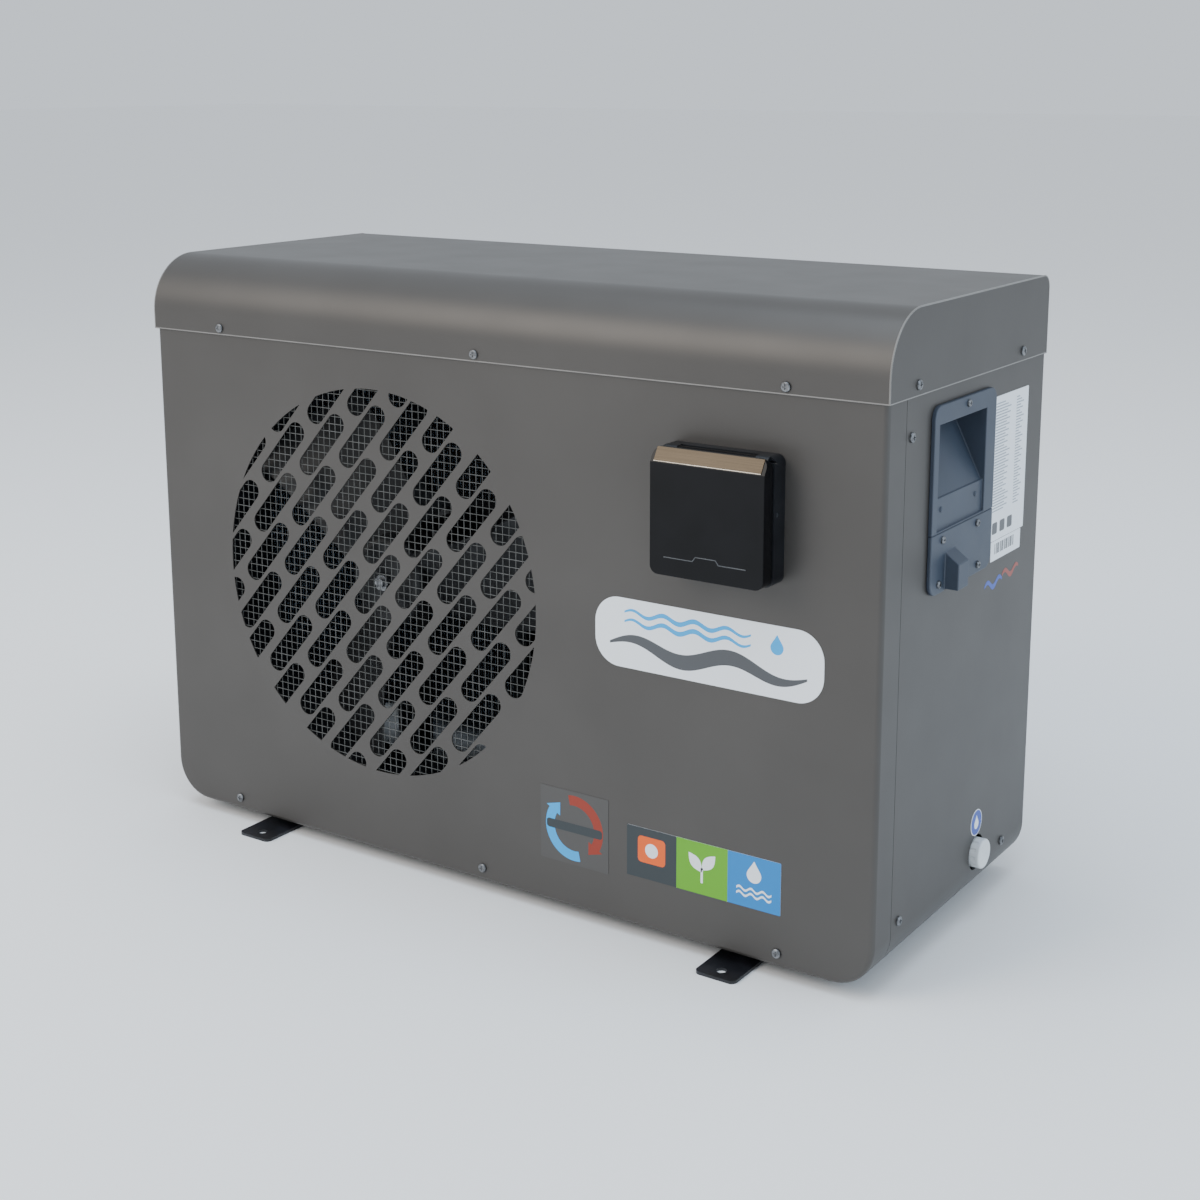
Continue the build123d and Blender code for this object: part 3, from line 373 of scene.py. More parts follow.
def join_plates(name, plates, to_space, look_name, body="casing"):
    """Several plates of one ink as one piece; each plate is (outline, low, high)."""
    mesh = bpy.data.meshes.new(name)
    whole = bmesh.new()
    for outline, low, high in plates:
        part = prism(outline, to_space, low, high)
        temp = bpy.data.meshes.new("plate")
        part.to_mesh(temp)
        part.free()
        whole.from_mesh(temp)
        bpy.data.meshes.remove(temp)
    whole.to_mesh(mesh)
    whole.free()
    return piece_from_mesh(name, mesh, look_name, body)


def tube(name, points, radius, look_name, body, cyclic=False, sides=3):
    """A round bead along points, as a plain mesh."""
    curve = bpy.data.curves.new(name, "CURVE")
    curve.dimensions = "3D"
    curve.bevel_depth = radius
    curve.bevel_resolution = sides
    curve.use_fill_caps = True
    spline = curve.splines.new("POLY")
    spline.points.add(len(points) - 1)
    for target, point in zip(spline.points, points):
        target.co = (*point, 1.0)
    spline.use_cyclic_u = cyclic
    holder = bpy.data.objects.new(name + "_path", curve)
    bpy.context.scene.collection.objects.link(holder)
    bpy.context.view_layer.update()
    mesh = bpy.data.meshes.new_from_object(holder.evaluated_get(bpy.context.evaluated_depsgraph_get()))
    bpy.data.objects.remove(holder)
    bpy.data.curves.remove(curve)
    mesh.materials.clear()
    return piece_from_mesh(name, mesh, look_name, body, 60.0)


def dome(work, centre, axis, radius, height):
    """Adds a shallow round pip to a bmesh."""
    turn = Vector((0, 0, 1)).rotation_difference(axis).to_matrix().to_4x4()
    shape = Matrix.Translation(centre) @ turn @ Matrix.Diagonal((1, 1, height / radius, 1))
    bmesh.ops.create_uvsphere(work, u_segments=20, v_segments=10, radius=radius, matrix=shape)


def pips(name, spots, axis, radius, height, look_name, body):
    work = bmesh.new()
    for spot in spots:
        dome(work, Vector(spot), Vector(axis), radius, height)
    mesh = bpy.data.meshes.new(name)
    work.to_mesh(mesh)
    work.free()
    return piece_from_mesh(name, mesh, look_name, body, 60.0)


def run_nodes(name, mesh, tree, values, place, look_name, body):
    """Runs a Geometry Nodes tree on a mesh, places the result and keeps it as a plain piece."""
    holder = bpy.data.objects.new(name + "_source", mesh)
    bpy.context.scene.collection.objects.link(holder)
    modifier = holder.modifiers.new("nodes", "NODES")
    modifier.node_group = tree
    sockets = {i.name: i.identifier for i in tree.interface.items_tree if i.in_out == "INPUT"}
    for key, value in values.items():
        modifier[sockets[key]] = value
    modifier[sockets["Material"]] = look(look_name)
    bpy.context.view_layer.update()
    result = bpy.data.meshes.new_from_object(holder.evaluated_get(bpy.context.evaluated_depsgraph_get()))
    result.name = name
    bpy.data.objects.remove(holder)
    result.transform(place)
    return piece_from_mesh(name, result, look_name, body, 40.0)


def new_tree(name, inputs):
    """An empty Geometry Nodes tree with a geometry input, named inputs and a material."""
    tree = bpy.data.node_groups.new(name, "GeometryNodeTree")
    tree.interface.new_socket("Geometry", in_out="INPUT", socket_type="NodeSocketGeometry")
    for key, default in inputs.items():
        made = tree.interface.new_socket(key, in_out="INPUT", socket_type="NodeSocketFloat")
        made.default_value = default
    tree.interface.new_socket("Material", in_out="INPUT", socket_type="NodeSocketMaterial")
    tree.interface.new_socket("Geometry", in_out="OUTPUT", socket_type="NodeSocketGeometry")
    return tree, add_node(tree, "NodeGroupInput").outputs


def close_tree(tree, source, outputs):
    """Ends a tree in Realize Instances and Set Material."""
    solid = add_node(tree, "GeometryNodeRealizeInstances", links={"Geometry": source})
    links = {"Geometry": solid.outputs["Geometry"], "Material": outputs["Material"]}
    painted = add_node(tree, "GeometryNodeSetMaterial", links=links)
    add_node(tree, "NodeGroupOutput", links={"Geometry": painted.outputs["Geometry"]})


def wire_row(tree, given, across, pitch, length, upright):
    """One row of parallel wires; round screens shorten them to the circle's chord."""
    ratio = add_node(tree, "ShaderNodeMath", operation="DIVIDE", links={0: given[across], 1: given[pitch]})
    count = add_node(tree, "ShaderNodeMath", {1: 0.999}, {0: ratio.outputs[0]}, operation="ADD")
    whole = add_node(tree, "ShaderNodeMath", operation="FLOOR", links={0: count.outputs[0]})
    gaps = add_node(tree, "ShaderNodeMath", {1: 1.0}, {0: whole.outputs[0]}, operation="SUBTRACT")
    half = add_node(tree, "ShaderNodeMath", {1: -0.5}, {0: gaps.outputs[0]}, operation="MULTIPLY")
    links = {0: half.outputs[0], 1: given[pitch]}
    first = add_node(tree, "ShaderNodeMath", operation="MULTIPLY", links=links)
    axis = "X" if upright else "Z"
    start = add_node(tree, "ShaderNodeCombineXYZ", links={axis: first.outputs[0]})
    step = add_node(tree, "ShaderNodeCombineXYZ", links={axis: given[pitch]})
    links = {"Count": whole.outputs[0], "Start Location": start.outputs[0], "Offset": step.outputs[0]}
    line = add_node(tree, "GeometryNodeMeshLine", links=links)
    spot = add_node(tree, "GeometryNodeInputPosition")
    place = add_node(tree, "ShaderNodeSeparateXYZ", links={0: spot.outputs[0]})
    radius = add_node(tree, "ShaderNodeMath", {1: 0.5}, {0: given["Round"]}, operation="MULTIPLY")
    square = add_node(tree, "ShaderNodeMath", {1: 2.0}, {0: radius.outputs[0]}, operation="POWER")
    off = add_node(tree, "ShaderNodeMath", {1: 2.0}, {0: place.outputs[axis]}, operation="POWER")
    links = {0: square.outputs[0], 1: off.outputs[0]}
    rest = add_node(tree, "ShaderNodeMath", operation="SUBTRACT", links=links)
    safe = add_node(tree, "ShaderNodeMath", {1: 0.0}, {0: rest.outputs[0]}, operation="MAXIMUM")
    root = add_node(tree, "ShaderNodeMath", operation="SQRT", links={0: safe.outputs[0]})
    chord = add_node(tree, "ShaderNodeMath", {1: 2.0}, {0: root.outputs[0]}, operation="MULTIPLY")
    is_round = add_node(tree, "ShaderNodeMath", {1: 0.001}, {0: given["Round"]}, operation="GREATER_THAN")
    links = {"Switch": is_round.outputs[0], "False": given[length], "True": chord.outputs[0]}
    reach = add_node(tree, "GeometryNodeSwitch", input_type="FLOAT", links=links)
    links = {"X": given["Wire"], "Y": given["Wire"], "Z": reach.outputs[0]}
    scale = add_node(tree, "ShaderNodeCombineXYZ", links=links)
    bar = add_node(tree, "GeometryNodeMeshCylinder", {"Vertices": 6, "Radius": 0.5, "Depth": 1.0})
    links = {"Points": line.outputs[0], "Instance": bar.outputs["Mesh"], "Scale": scale.outputs[0]}
    lean = (0.0, 0.0, 0.0) if upright else (0.0, math.pi / 2, 0.0)
    row = add_node(tree, "GeometryNodeInstanceOnPoints", {"Rotation": lean}, links)
    side = 0.45 if upright else -0.45
    shift = add_node(tree, "ShaderNodeMath", {1: side}, {0: given["Wire"]}, operation="MULTIPLY")
    move = add_node(tree, "ShaderNodeCombineXYZ", links={"Y": shift.outputs[0]})
    links = {"Geometry": row.outputs[0], "Offset": move.outputs[0]}
    return add_node(tree, "GeometryNodeSetPosition", links=links)


def wire_grid_tree():
    """Two crossed rows of wires in the X-Z plane, rectangular or trimmed to a circle."""
    inputs = {"Width": 0.1, "Height": 0.1, "Pitch X": 0.01, "Pitch Z": 0.01, "Wire": 0.001, "Round": 0.0}
    tree, given = new_tree("wire_grid", inputs)
    rows = [wire_row(tree, given, "Width", "Pitch X", "Height", True)]
    rows.append(wire_row(tree, given, "Height", "Pitch Z", "Width", False))
    both = add_node(tree, "GeometryNodeJoinGeometry")
    for row in rows:
        tree.links.new(row.outputs[0], both.inputs[0])
    close_tree(tree, both.outputs[0], given)
    return tree


def fin_tree():
    """Upright plates set square across a path with a rounded corner."""
    inputs = {"Corner radius": 0.05, "Pitch": 0.004, "Depth": 0.04, "Height": 0.4, "Thickness": 0.0003}
    tree, given = new_tree("fins_on_path", inputs)
    path = add_node(tree, "GeometryNodeMeshToCurve", links={"Mesh": given["Geometry"]})
    links = {"Curve": path.outputs[0], "Radius": given["Corner radius"]}
    bent = add_node(tree, "GeometryNodeFilletCurve", {"Count": 16, "Limit Radius": True}, links, mode="POLY")
    spots = add_node(tree, "GeometryNodeCurveToPoints", mode="LENGTH", links={"Curve": bent.outputs[0]})
    tree.links.new(given["Pitch"], spots.inputs["Length"])
    links = {"X": given["Thickness"], "Y": given["Depth"], "Z": given["Height"]}
    size = add_node(tree, "ShaderNodeCombineXYZ", links=links)
    plate = add_node(tree, "GeometryNodeMeshCube", links={"Size": size.outputs[0]})
    turn = add_node(tree, "FunctionNodeAlignRotationToVector", axis="X", pivot_axis="Z")
    tree.links.new(spots.outputs["Tangent"], turn.inputs["Vector"])
    links = {"Points": spots.outputs["Points"], "Instance": plate.outputs[0], "Rotation": turn.outputs[0]}
    rows = add_node(tree, "GeometryNodeInstanceOnPoints", links=links)
    close_tree(tree, rows.outputs[0], given)
    return tree


# ---------------------------------------------------------------- outlines for stickers


def on_front(u, v, h):
    """A point on the front panel: u along X, v up, h out of the face."""
    return (u, FRONT_Y - h, v)


def on_side(u, v, h):
    """A point on the right side panel: u along Y, v up, h out of the face."""
    return (SIDE_X + h, u, v)


def rounded(u0, u1, v0, v1, r, steps=8):
    """A rectangle with round corners, in millimetres, as points in metres."""
    points = []
    corners = ((u1 - r, v1 - r, 0), (u0 + r, v1 - r, 90), (u0 + r, v0 + r, 180), (u1 - r, v0 + r, 270))
    for cu, cv, start in corners:
        for i in range(steps + 1):
            a = math.radians(start + 90 * i / steps)
            points.append(((cu + r * math.cos(a)) * MM, (cv + r * math.sin(a)) * MM))
    return points


def arc_band(cu, cv, r_in, r_out, a0, a1, steps=28):
    """Part of a ring, from angle a0 to a1 in degrees."""
    turn = [math.radians(a0 + (a1 - a0) * i / steps) for i in range(steps + 1)]
    outer = [((cu + r_out * math.cos(a)) * MM, (cv + r_out * math.sin(a)) * MM) for a in turn]
    inner = [((cu + r_in * math.cos(a)) * MM, (cv + r_in * math.sin(a)) * MM) for a in reversed(turn)]
    return outer + inner


def wave_band(u0, u1, v, swing, length, thick, taper=0.0, steps=60):
    """A thick sine wave; taper thins it towards both ends."""
    top, low = [], []
    for i in range(steps + 1):
        t = i / steps
        u = u0 + (u1 - u0) * t
        mid = v + swing * math.sin(2 * math.pi * (u - u0) / length)
        half = thick / 2 * (1 - taper * abs(2 * t - 1) ** 2)
        top.append((u * MM, (mid + half) * MM))
        low.append((u * MM, (mid - half) * MM))
    return top + low[::-1]


def drop(cu, cv, r, steps=28):
    """A water drop, point up."""
    points = []
    for i in range(steps):
        a = math.radians(360 * i / steps)
        pull = max(0.0, math.sin(a)) ** 3
        u = cu + r * math.cos(a) * (1 - 0.75 * pull)
        v = cv + r * (math.sin(a) + 0.8 * pull)
        points.append((u * MM, v * MM))
    return points


def leaf(cu, cv, length, width, angle, steps=14):
    """A pointed oval leaf turned by angle degrees."""
    parts = [i / steps for i in range(steps + 1)]
    rows = [(-length / 2 + length * t, width / 2 * math.sin(math.pi * t)) for t in parts]
    flat = rows + [(a, -b) for a, b in rows[-2:0:-1]]
    c, s = math.cos(math.radians(angle)), math.sin(math.radians(angle))
    return [((cu + a * c - b * s) * MM, (cv + a * s + b * c) * MM) for a, b in flat]


def arrow_head(cu, cv, r, width, angle, size):
    """A triangle at the end of a ring's arc; a negative size points clockwise."""
    a = math.radians(angle)
    tip = a + size / r
    pts = [(r - width, a), (r + width, a), (r, tip)]
    return [((cu + q * math.cos(t)) * MM, (cv + q * math.sin(t)) * MM) for q, t in pts]


# Heights above the face: the sticker's own film, its ink, and ink over ink.
BASE = 0.30 * MM
INK = 0.34 * MM
OVER = 0.38 * MM


def ink(*outlines, low=BASE, high=INK):
    return [(outline, low, high) for outline in outlines]


# ---------------------------------------------------------------- properties


class HeatPumpLooks(bpy.types.PropertyGroup):
    """Sizes that a user would change."""

    mesh_pitch: bpy.props.FloatProperty(
        name="Mesh pitch", description="Spacing of the welded mesh behind the grille",
        default=7.7 * MM, unit="LENGTH")
    mesh_wire: bpy.props.FloatProperty(
        name="Mesh wire", description="Thickness of the mesh wire", default=0.8 * MM, unit="LENGTH")
    fin_pitch: bpy.props.FloatProperty(
        name="Fin pitch", description="Spacing of the coil's fins, drawn coarser than the real 1.8 mm",
        default=3.6 * MM, unit="LENGTH")
    guard_pitch: bpy.props.FloatProperty(
        name="Guard pitch", description="Spacing of the coil guard's upright wires",
        default=22.5 * MM, unit="LENGTH")
    guard_wire: bpy.props.FloatProperty(
        name="Guard wire", description="Thickness of the coil guard's wires", default=2.4 * MM, unit="LENGTH")


class HEATPUMP_OT_casing(bpy.types.Operator):
    """Finishes the painted panels, the lid and the foot rails"""

    bl_idname = "heat_pump.casing"
    bl_label = "Casing"

    def execute(self, context):
        for node in ("front_panel", "right_side_panel", "left_side_panel", "rear_panel", "top_cover"):
            finish_node(node)
        for node in ("foot_rail_left", "foot_rail_right", "base_pan", "partition"):
            finish_node(node)
        # The lid's end seams and hem take the lighter edge tone, a painted highlight along the lid's edges.
        for sign, name in ((1, "right"), (-1, "left")):
            x = sign * (LID_HIGH.x - 0.5 * MM)
            tube(f"lid_end_seam_{name}", lid_end_path(x), BEAD, "paint_edge_highlight", "casing")
        across, deep = LID_HIGH.x - BEAD / 2, -LID_LOW.y - BEAD / 2
        hem = [(-across, deep), (-across, -deep), (across, -deep), (across, deep)]
        points = [(x, y, LID_LOW.z + 0.7 * MM) for x, y in hem]
        tube("lid_hem", points, BEAD, "paint_edge_highlight", "casing", cyclic=True)
        return {"FINISHED"}


def lid_end_path(x):
    """The lid's outline at one end: up the front, round the roll, along the top and down the back."""
    inset = BEAD / 2
    low = LID_LOW.z + inset
    path = [(x, LID_LOW.y + inset, low)]
    front = (LID_LOW.y + LID_FRONT_R, LID_FRONT_R, 180, 24)
    back = (LID_HIGH.y - LID_BACK_R, LID_BACK_R, 90, 10)
    for centre, radius, start, steps in (front, back):
        for i in range(steps + 1):
            a = math.radians(start - 90 * i / steps)
            r = radius - inset
            path.append((x, centre + r * math.cos(a), LID_HIGH.z - radius + r * math.sin(a)))
    path.append((x, LID_HIGH.y - inset, low))
    return path


class HEATPUMP_OT_screens(bpy.types.Operator):
    """Weaves the mesh behind the grille and the guards over the coil"""

    bl_idname = "heat_pump.screens"
    bl_label = "Mesh and guards"

    def execute(self, context):
        sizes = context.scene.heat_pump
        tree = wire_grid_tree()
        low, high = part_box("mesh_screen")
        middle = (low + high) / 2
        around = high.x - low.x
        values = {"Width": around, "Height": around, "Pitch X": sizes.mesh_pitch, "Pitch Z": sizes.mesh_pitch}
        values.update({"Wire": sizes.mesh_wire, "Round": around - 4 * MM})
        mesh = bpy.data.meshes.new("seed")
        place = Matrix.Translation(middle)
        woven = run_nodes("welded_mesh", mesh, tree, values, place, "wire", "casing")
        reach = around / 2 - 2 * MM
        turn = [math.radians(i * 5) for i in range(72)]
        ring = [(middle.x + math.cos(a) * reach, middle.y, middle.z + math.sin(a) * reach) for a in turn]
        rim = tube("mesh_rim", ring, 0.9 * MM, "wire", "casing", cyclic=True)
        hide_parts("mesh_screen")
        for node, turn in (("rear_guard", 0.0), ("left_guard", 90.0)):
            self.guard(node, turn, tree, sizes)
        return {"FINISHED"}

    def guard(self, node, turn, tree, sizes):
        """One flat guard with a wire border."""
        low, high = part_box(node)
        size = high - low
        width = max(size.x, size.y) - sizes.guard_wire
        height = size.z - sizes.guard_wire
        pitch = width / round(width / sizes.guard_pitch)
        rise = height / round(height / (4 * sizes.guard_pitch))
        values = {"Width": width, "Height": height, "Pitch X": pitch, "Pitch Z": rise}
        values.update({"Wire": sizes.guard_wire * 0.6, "Round": 0.0})
        place = Matrix.Translation((low + high) / 2) @ Matrix.Rotation(math.radians(turn), 4, "Z")
        mesh = bpy.data.meshes.new("seed")
        grid = run_nodes(node + "_wires", mesh, tree, values, place, "black_steel", "casing")
        corners = [(-1, -1), (1, -1), (1, 1), (-1, 1)]
        border = [place @ Vector((u * width / 2, 0, v * height / 2)) for u, v in corners]
        edge = tube(node + "_border", border, sizes.guard_wire / 2, "black_steel", "casing", cyclic=True)
        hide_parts(node)


class HEATPUMP_OT_coil(bpy.types.Operator):
    """Sets the fins across the coil's tube core"""

    bl_idname = "heat_pump.coil"
    bl_label = "Coil"

    def execute(self, context):
        sizes = context.scene.heat_pump
        low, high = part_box("evaporator_coil")
        half = COIL_THICKNESS / 2
        path = [(low.x + half, low.y, 0), (low.x + half, high.y - half, 0), (high.x, high.y - half, 0)]
        mesh = bpy.data.meshes.new("coil_path")
        mesh.from_pydata(path, [(0, 1), (1, 2)], [])
        values = {"Corner radius": 51 * MM, "Pitch": sizes.fin_pitch, "Depth": 2 * half + 1.6 * MM}
        values.update({"Height": high.z - low.z + 0.6 * MM, "Thickness": 0.5 * MM})
        place = Matrix.Translation((0, 0, (low.z + high.z) / 2))
        fins = run_nodes("coil_fins", mesh, fin_tree(), values, place, "coil_fins", "casing")
        finish_node("evaporator_coil", "coil_core")
        finish_node("coil_bends")
        return {"FINISHED"}


class HEATPUMP_OT_fan(bpy.types.Operator):
    """Finishes the fan, its motor, bracket and shroud"""

    bl_idname = "heat_pump.fan"
    bl_label = "Fan"

    def execute(self, context):
        for node in ("fan_blade", "fan_shaft", "fan_nut", "fan_motor", "fan_shroud"):
            finish_node(node, smooth=35.0)
        finish_node("motor_bracket", "dull_zinc")
        return {"FINISHED"}


class HEATPUMP_OT_controller(bpy.types.Operator):
    """Finishes the controller: box, keys, lens, flip-up cover and bright strip"""

    bl_idname = "heat_pump.controller"
    bl_label = "Controller"

    def execute(self, context):
        for node in ("controller_base", "controller_cover"):
            finish_node(node, soften=0.9 * MM)
        for node in ("cover_trim", "display_lens", "hinge_pin"):
            finish_node(node)
        # A pale bead along the strip's lower edge: painted highlight where the strip catches the light.
        low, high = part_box("cover_trim")
        edge = [(low.x, low.y + 0.3 * MM, low.z + 0.3 * MM), (high.x, low.y + 0.3 * MM, low.z + 0.3 * MM)]
        tube("cover_trim_edge", edge, 0.45 * MM, "trim_edge_highlight", "controller_lid")
        for node in [n for n in frame["nodes"] if n.startswith("button_")]:
            finish_node(node)
        low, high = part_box("controller_cover")
        mid = (low.x + high.x) / 2
        line = low.z + 16.5 * MM
        outline = [(-42, 0), (-13, 0), (-10, 4), (10, 4), (13, 0), (40, 0)]
        points = [(mid + u * MM, low.y, line + v * MM) for u, v in outline]
        # The engraved thumb line is drawn in grey ink on the black cover: a painted highlight along the line.
        tube("cover_thumb_line_painted_highlight", points, 0.5 * MM, "ink_grey", "controller_lid")
        z = (low.z + high.z) / 2 + 6 * MM
        y = low.y + 22 * MM
        spots = [(side.x, y, z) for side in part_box("controller_base")]
        pips("controller_side_pips", spots, (1, 0, 0), 2.2 * MM, 1.2 * MM, "black_matt", "casing")
        return {"FINISHED"}


class HEATPUMP_OT_handle(bpy.types.Operator):
    """Finishes the hand pocket plate, the cable cover and the drain"""

    bl_idname = "heat_pump.handle"
    bl_label = "Handle, cable cover and drain"

    def execute(self, context):
        for node in ("handle_plate", "cable_cover"):
            finish_node(node, soften=1.2 * MM)
        for node in ("drain_cap", "drain_spout", "terminal_block"):
            finish_node(node)
        x = SIDE_X + 1.5 * MM
        spots = [(x, y * MM, CASE_LOW + 413 * MM) for y in (-64, 11)]
        pips("handle_pips", spots, (1, 0, 0), 2.6 * MM, 1.6 * MM, "slate_plastic", "casing")
        return {"FINISHED"}


class HEATPUMP_OT_inside(bpy.types.Operator):
    """Finishes the refrigerant circuit, the water side and the electrics"""

    bl_idname = "heat_pump.inside"
    bl_label = "Inner parts and water unions"

    def execute(self, context):
        names = ["compressor", "compressor_grommets", "compressor_bolts", "accumulator", "heat_exchanger"]
        names += ["four_way_valve", "discharge_pipe", "suction_pipe", "exchanger_gas_pipe", "coil_gas_pipe"]
        names += ["liquid_line", "inlet_spigot", "outlet_spigot", "inlet_tail", "outlet_tail", "inlet_nut"]
        names += ["outlet_nut", "flow_switch", "electrical_tray", "circuit_board", "run_capacitor"]
        names.append("contactor")
        for node in names:
            finish_node(node)
        return {"FINISHED"}


class HEATPUMP_OT_fasteners(bpy.types.Operator):
    """Finishes the screws"""

    bl_idname = "heat_pump.fasteners"
    bl_label = "Screws"

    def execute(self, context):
        for node in ("casing_screws", "handle_screws"):
            finish_node(node)
        return {"FINISHED"}


class HEATPUMP_OT_stickers(bpy.types.Operator):
    """Adds the plain stickers with generic pictograms"""

    bl_idname = "heat_pump.stickers"
    bl_label = "Stickers"

    def execute(self, context):
        finish_node("front_labels")
        finish_node("side_labels")
        self.badge()
        self.cycle_mark()
        self.squares()
        self.data_plate()
        self.side_marks()
        return {"FINISHED"}

    def badge(self):
        """A long badge: blue waves over a grey swell."""
        low = CASE_LOW / MM + 252
        waves = [wave_band(168, 300, low + 53 - 9 * i, 2.6, 33, 4.6, 0.6) for i in range(2)]
        join_plates("badge_waves", ink(*waves), on_front, "ink_sky")
        swell = [wave_band(152, 356, low + 22, 6.5, 102, 15, 0.85)]
        join_plates("badge_swell", ink(*swell), on_front, "ink_grey")
        spot = [drop(326, low + 46, 6.5)]
        join_plates("badge_drop", ink(*spot), on_front, "ink_sky")

    def cycle_mark(self):
        """A square of clear film with two arcs that chase each other."""
        cu, cv = 111, CASE_LOW / MM + 81
        film = [rounded(71.9, 150.1, CASE_LOW / MM + 43.9, CASE_LOW / MM + 118.1, 1)]
        join_plates("cycle_film", ink(*film, low=0, high=BASE + 0.02 * MM), on_front, "ink_clear")
        cold = [arc_band(cu, cv, 23, 33, 150, 282), arrow_head(cu, cv, 28, 9, 150, -12)]
        join_plates("cycle_cold", ink(*cold), on_front, "ink_sky")
        hot = [arc_band(cu, cv, 23, 33, -30, 102), arrow_head(cu, cv, 28, 9, -30, -12)]
        join_plates("cycle_hot", ink(*hot), on_front, "ink_red")
        bar = [rounded(cu - 32, cu + 32, cv - 4.5, cv + 4.5, 3)]
        join_plates("cycle_bar", ink(*bar, low=INK, high=OVER), on_front, "ink_dark")

    def squares(self):
        """Three squares: a sun, a leaf pair and a water drop."""
        v0, v1 = CASE_LOW / MM + 50, CASE_LOW / MM + 100
        step = (334 - 171) / 3
        for i, shade in enumerate(("ink_dark", "ink_green", "ink_blue")):
            square = [rounded(171 + i * step, 171 + (i + 1) * step, v0, v1, 0.5)]
            join_plates("square_" + shade, ink(*square), on_front, shade)
        mid = (v0 + v1) / 2 + 3
        sun = [rounded(171 + step / 2 - 15, 171 + step / 2 + 15, mid - 12, mid + 14, 4)]
        join_plates("square_sun", ink(*sun, low=INK, high=OVER), on_front, "ink_orange")
        ray = [arc_band(171 + step / 2, mid + 1, 0.1, 7, 0, 359)]
        join_plates("square_sun_disc", ink(*ray, low=OVER, high=OVER + 0.04 * MM), on_front, "label_film")
        cu = 171 + 1.5 * step
        leaves = [leaf(cu - 7, mid + 2, 22, 11, 130), leaf(cu + 7, mid + 4, 22, 11, 50)]
        leaves.append(rounded(cu - 1.2, cu + 1.2, mid - 17, mid - 2, 0.8))
        join_plates("square_leaves", ink(*leaves, low=INK, high=OVER), on_front, "label_film")
        cu = 171 + 2.5 * step
        water = [wave_band(cu - 18, cu + 18, mid - 11 - 5 * i, 1.6, 12, 2.2) for i in range(2)]
        water.insert(0, drop(cu, mid + 4, 7.5))
        join_plates("square_water", ink(*water, low=INK, high=OVER), on_front, "label_film")

    def data_plate(self):
        """Rows of plain bars that stand for print."""
        top = CASE_LOW / MM + 488
        rows = []
        for i in range(38):
            v = top - i * 2.75
            rows.append(rounded(57, 57 + 22 + (i * 7) % 15, v - 0.6, v + 0.5, 0.3, 2))
            rows.append(rounded(106, 106 + 8 + (i * 5) % 12, v - 0.6, v + 0.5, 0.3, 2))
        join_plates("data_rows", ink(*rows), on_side, "ink_pale")
        marks = [rounded(58 + 18 * i, 70 + 18 * i, top - 124, top - 113, 2) for i in range(3)]
        join_plates("data_marks", ink(*marks), on_side, "ink_grey")
        bars = []
        for i in range(14):
            u = 66 + i * 3.4
            bars.append(rounded(u, u + 1.2 + 0.8 * (i % 3), top - 144, top - 134, 0.2, 1))
        join_plates("stripe_rows", ink(*bars), on_side, "ink_grey")

    def side_marks(self):
        """Two short waves, and a drop on a round blue sticker over the drain."""
        low = CASE_LOW / MM
        first = [wave_band(46, 88, low + 316, 3.4, 28, 5.2, 0.5)]
        join_plates("side_wave_blue", ink(*first, low=0, high=0.1 * MM), on_side, "ink_royal")
        second = [wave_band(88, 128, low + 319, 3.4, 28, 5.2, 0.5)]
        join_plates("side_wave_red", ink(*second, low=0, high=0.1 * MM), on_side, "ink_red")
        ring = [arc_band(49.5, low + 83, 0.1, 12.2, 0, 359.5)]
        join_plates("drain_mark", ink(*ring), on_side, "ink_royal")
        water = [drop(49.5, low + 81.5, 5)]
        join_plates("drain_drop", ink(*water, low=INK, high=OVER), on_side, "label_film")


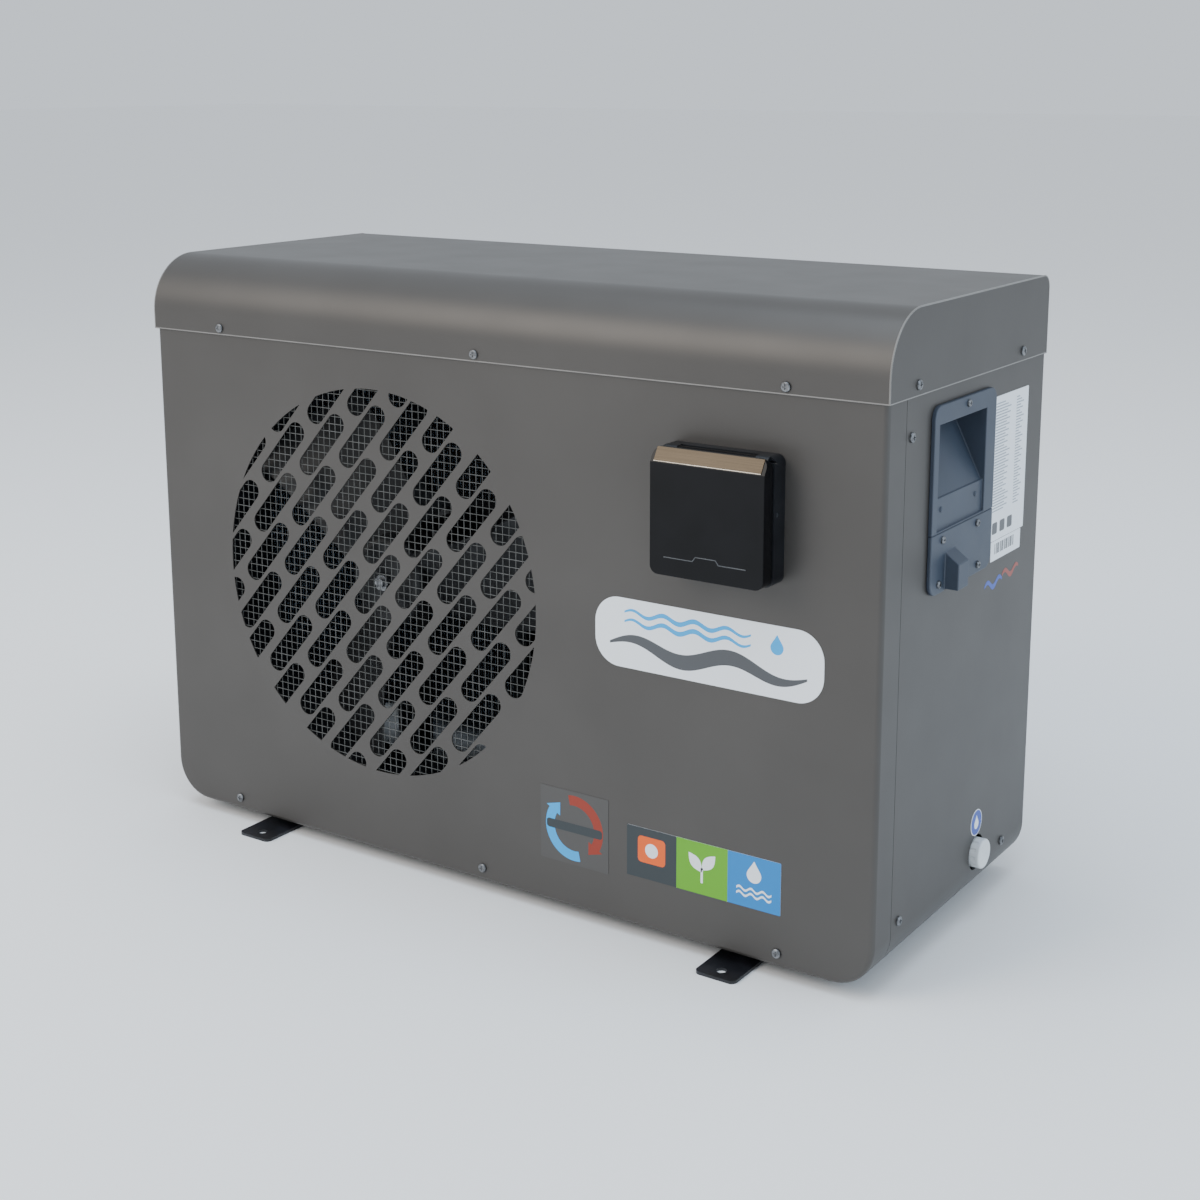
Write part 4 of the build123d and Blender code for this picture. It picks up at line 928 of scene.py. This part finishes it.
class HEATPUMP_OT_stage(bpy.types.Operator):
    """Sets up the floor, the camera and soft studio light"""

    bl_idname = "heat_pump.stage"
    bl_label = "Stage"

    def execute(self, context):
        scene = context.scene
        mesh = bpy.data.meshes.new("floor")
        reach = 30.0
        corners = [(-reach, -reach, 0), (reach, -reach, 0), (reach, reach, 0), (-reach, reach, 0)]
        mesh.from_pydata(corners, [], [(0, 1, 2, 3)])
        floor = bpy.data.objects.new("floor", mesh)
        scene.collection.objects.link(floor)
        made, tree, shader = material("pale_floor", Roughness=0.9)
        shader.inputs["Base Color"].default_value = linear("#FBFBFB")
        mesh.materials.append(made)
        world = bpy.data.worlds.new("studio")
        scene.world = world
        world.use_nodes = True
        world.node_tree.nodes["Background"].inputs["Color"].default_value = (0.85, 0.92, 1.0, 1.0)
        world.node_tree.nodes["Background"].inputs["Strength"].default_value = 0.95
        self.lamp("key", (-1.9, -3.2, 2.6), 2.4, 95, (1.0, 0.93, 0.84))
        self.lamp("sky_side", (3.4, 0.6, 1.6), 2.2, 40, (0.60, 0.80, 1.0))
        self.lamp("over", (0.1, -0.5, 3.5), 2.6, 72, (0.72, 0.85, 1.0))
        self.camera(scene)
        return {"FINISHED"}

    def lamp(self, name, place, size, power, colour):
        """A soft area light aimed at the unit's middle."""
        data = bpy.data.lights.new(name, "AREA")
        data.size = size
        data.energy = power
        data.color = colour
        lamp = bpy.data.objects.new(name, data)
        lamp.location = place
        aim = Vector((0, 0, 0.3)) - Vector(place)
        lamp.rotation_euler = aim.to_track_quat("-Z", "Y").to_euler()
        bpy.context.scene.collection.objects.link(lamp)

    def camera(self, scene):
        """A long lens from the front right, a little above the lid."""
        data = bpy.data.cameras.new("camera")
        data.sensor_width = 36.0
        data.lens = 56.36
        data.shift_y = -0.12
        camera = bpy.data.objects.new("camera", data)
        camera.location = (1.0715, -1.5515, 0.8029)
        camera.rotation_euler = [math.radians(a) for a in (78.315, 0.104, 33.974)]
        scene.collection.objects.link(camera)
        scene.camera = camera


class HEATPUMP_PT_panel(bpy.types.Panel):
    """Lists the steps in the sidebar"""

    bl_idname = "HEATPUMP_PT_panel"
    bl_label = "Heat pump"
    bl_space_type = "VIEW_3D"
    bl_region_type = "UI"
    bl_category = "Heat pump"

    def draw(self, context):
        for key in HeatPumpLooks.__annotations__:
            self.layout.prop(context.scene.heat_pump, key)
        for step in STEPS:
            self.layout.operator(step.bl_idname)


STEPS = (
    HEATPUMP_OT_casing,
    HEATPUMP_OT_screens,
    HEATPUMP_OT_coil,
    HEATPUMP_OT_fan,
    HEATPUMP_OT_controller,
    HEATPUMP_OT_handle,
    HEATPUMP_OT_inside,
    HEATPUMP_OT_fasteners,
    HEATPUMP_OT_stickers,
    HEATPUMP_OT_stage,
)


def register():
    for item in (HeatPumpLooks, *STEPS, HEATPUMP_PT_panel):
        bpy.utils.register_class(item)
    bpy.types.Scene.heat_pump = bpy.props.PointerProperty(type=HeatPumpLooks)


def unregister():
    del bpy.types.Scene.heat_pump
    for item in (HEATPUMP_PT_panel, *reversed(STEPS), HeatPumpLooks):
        bpy.utils.unregister_class(item)


def main():
    register()
    for step in STEPS:
        group, name = step.bl_idname.split(".")
        getattr(getattr(bpy.ops, group), name)()


if __name__ == "__main__":
    main()
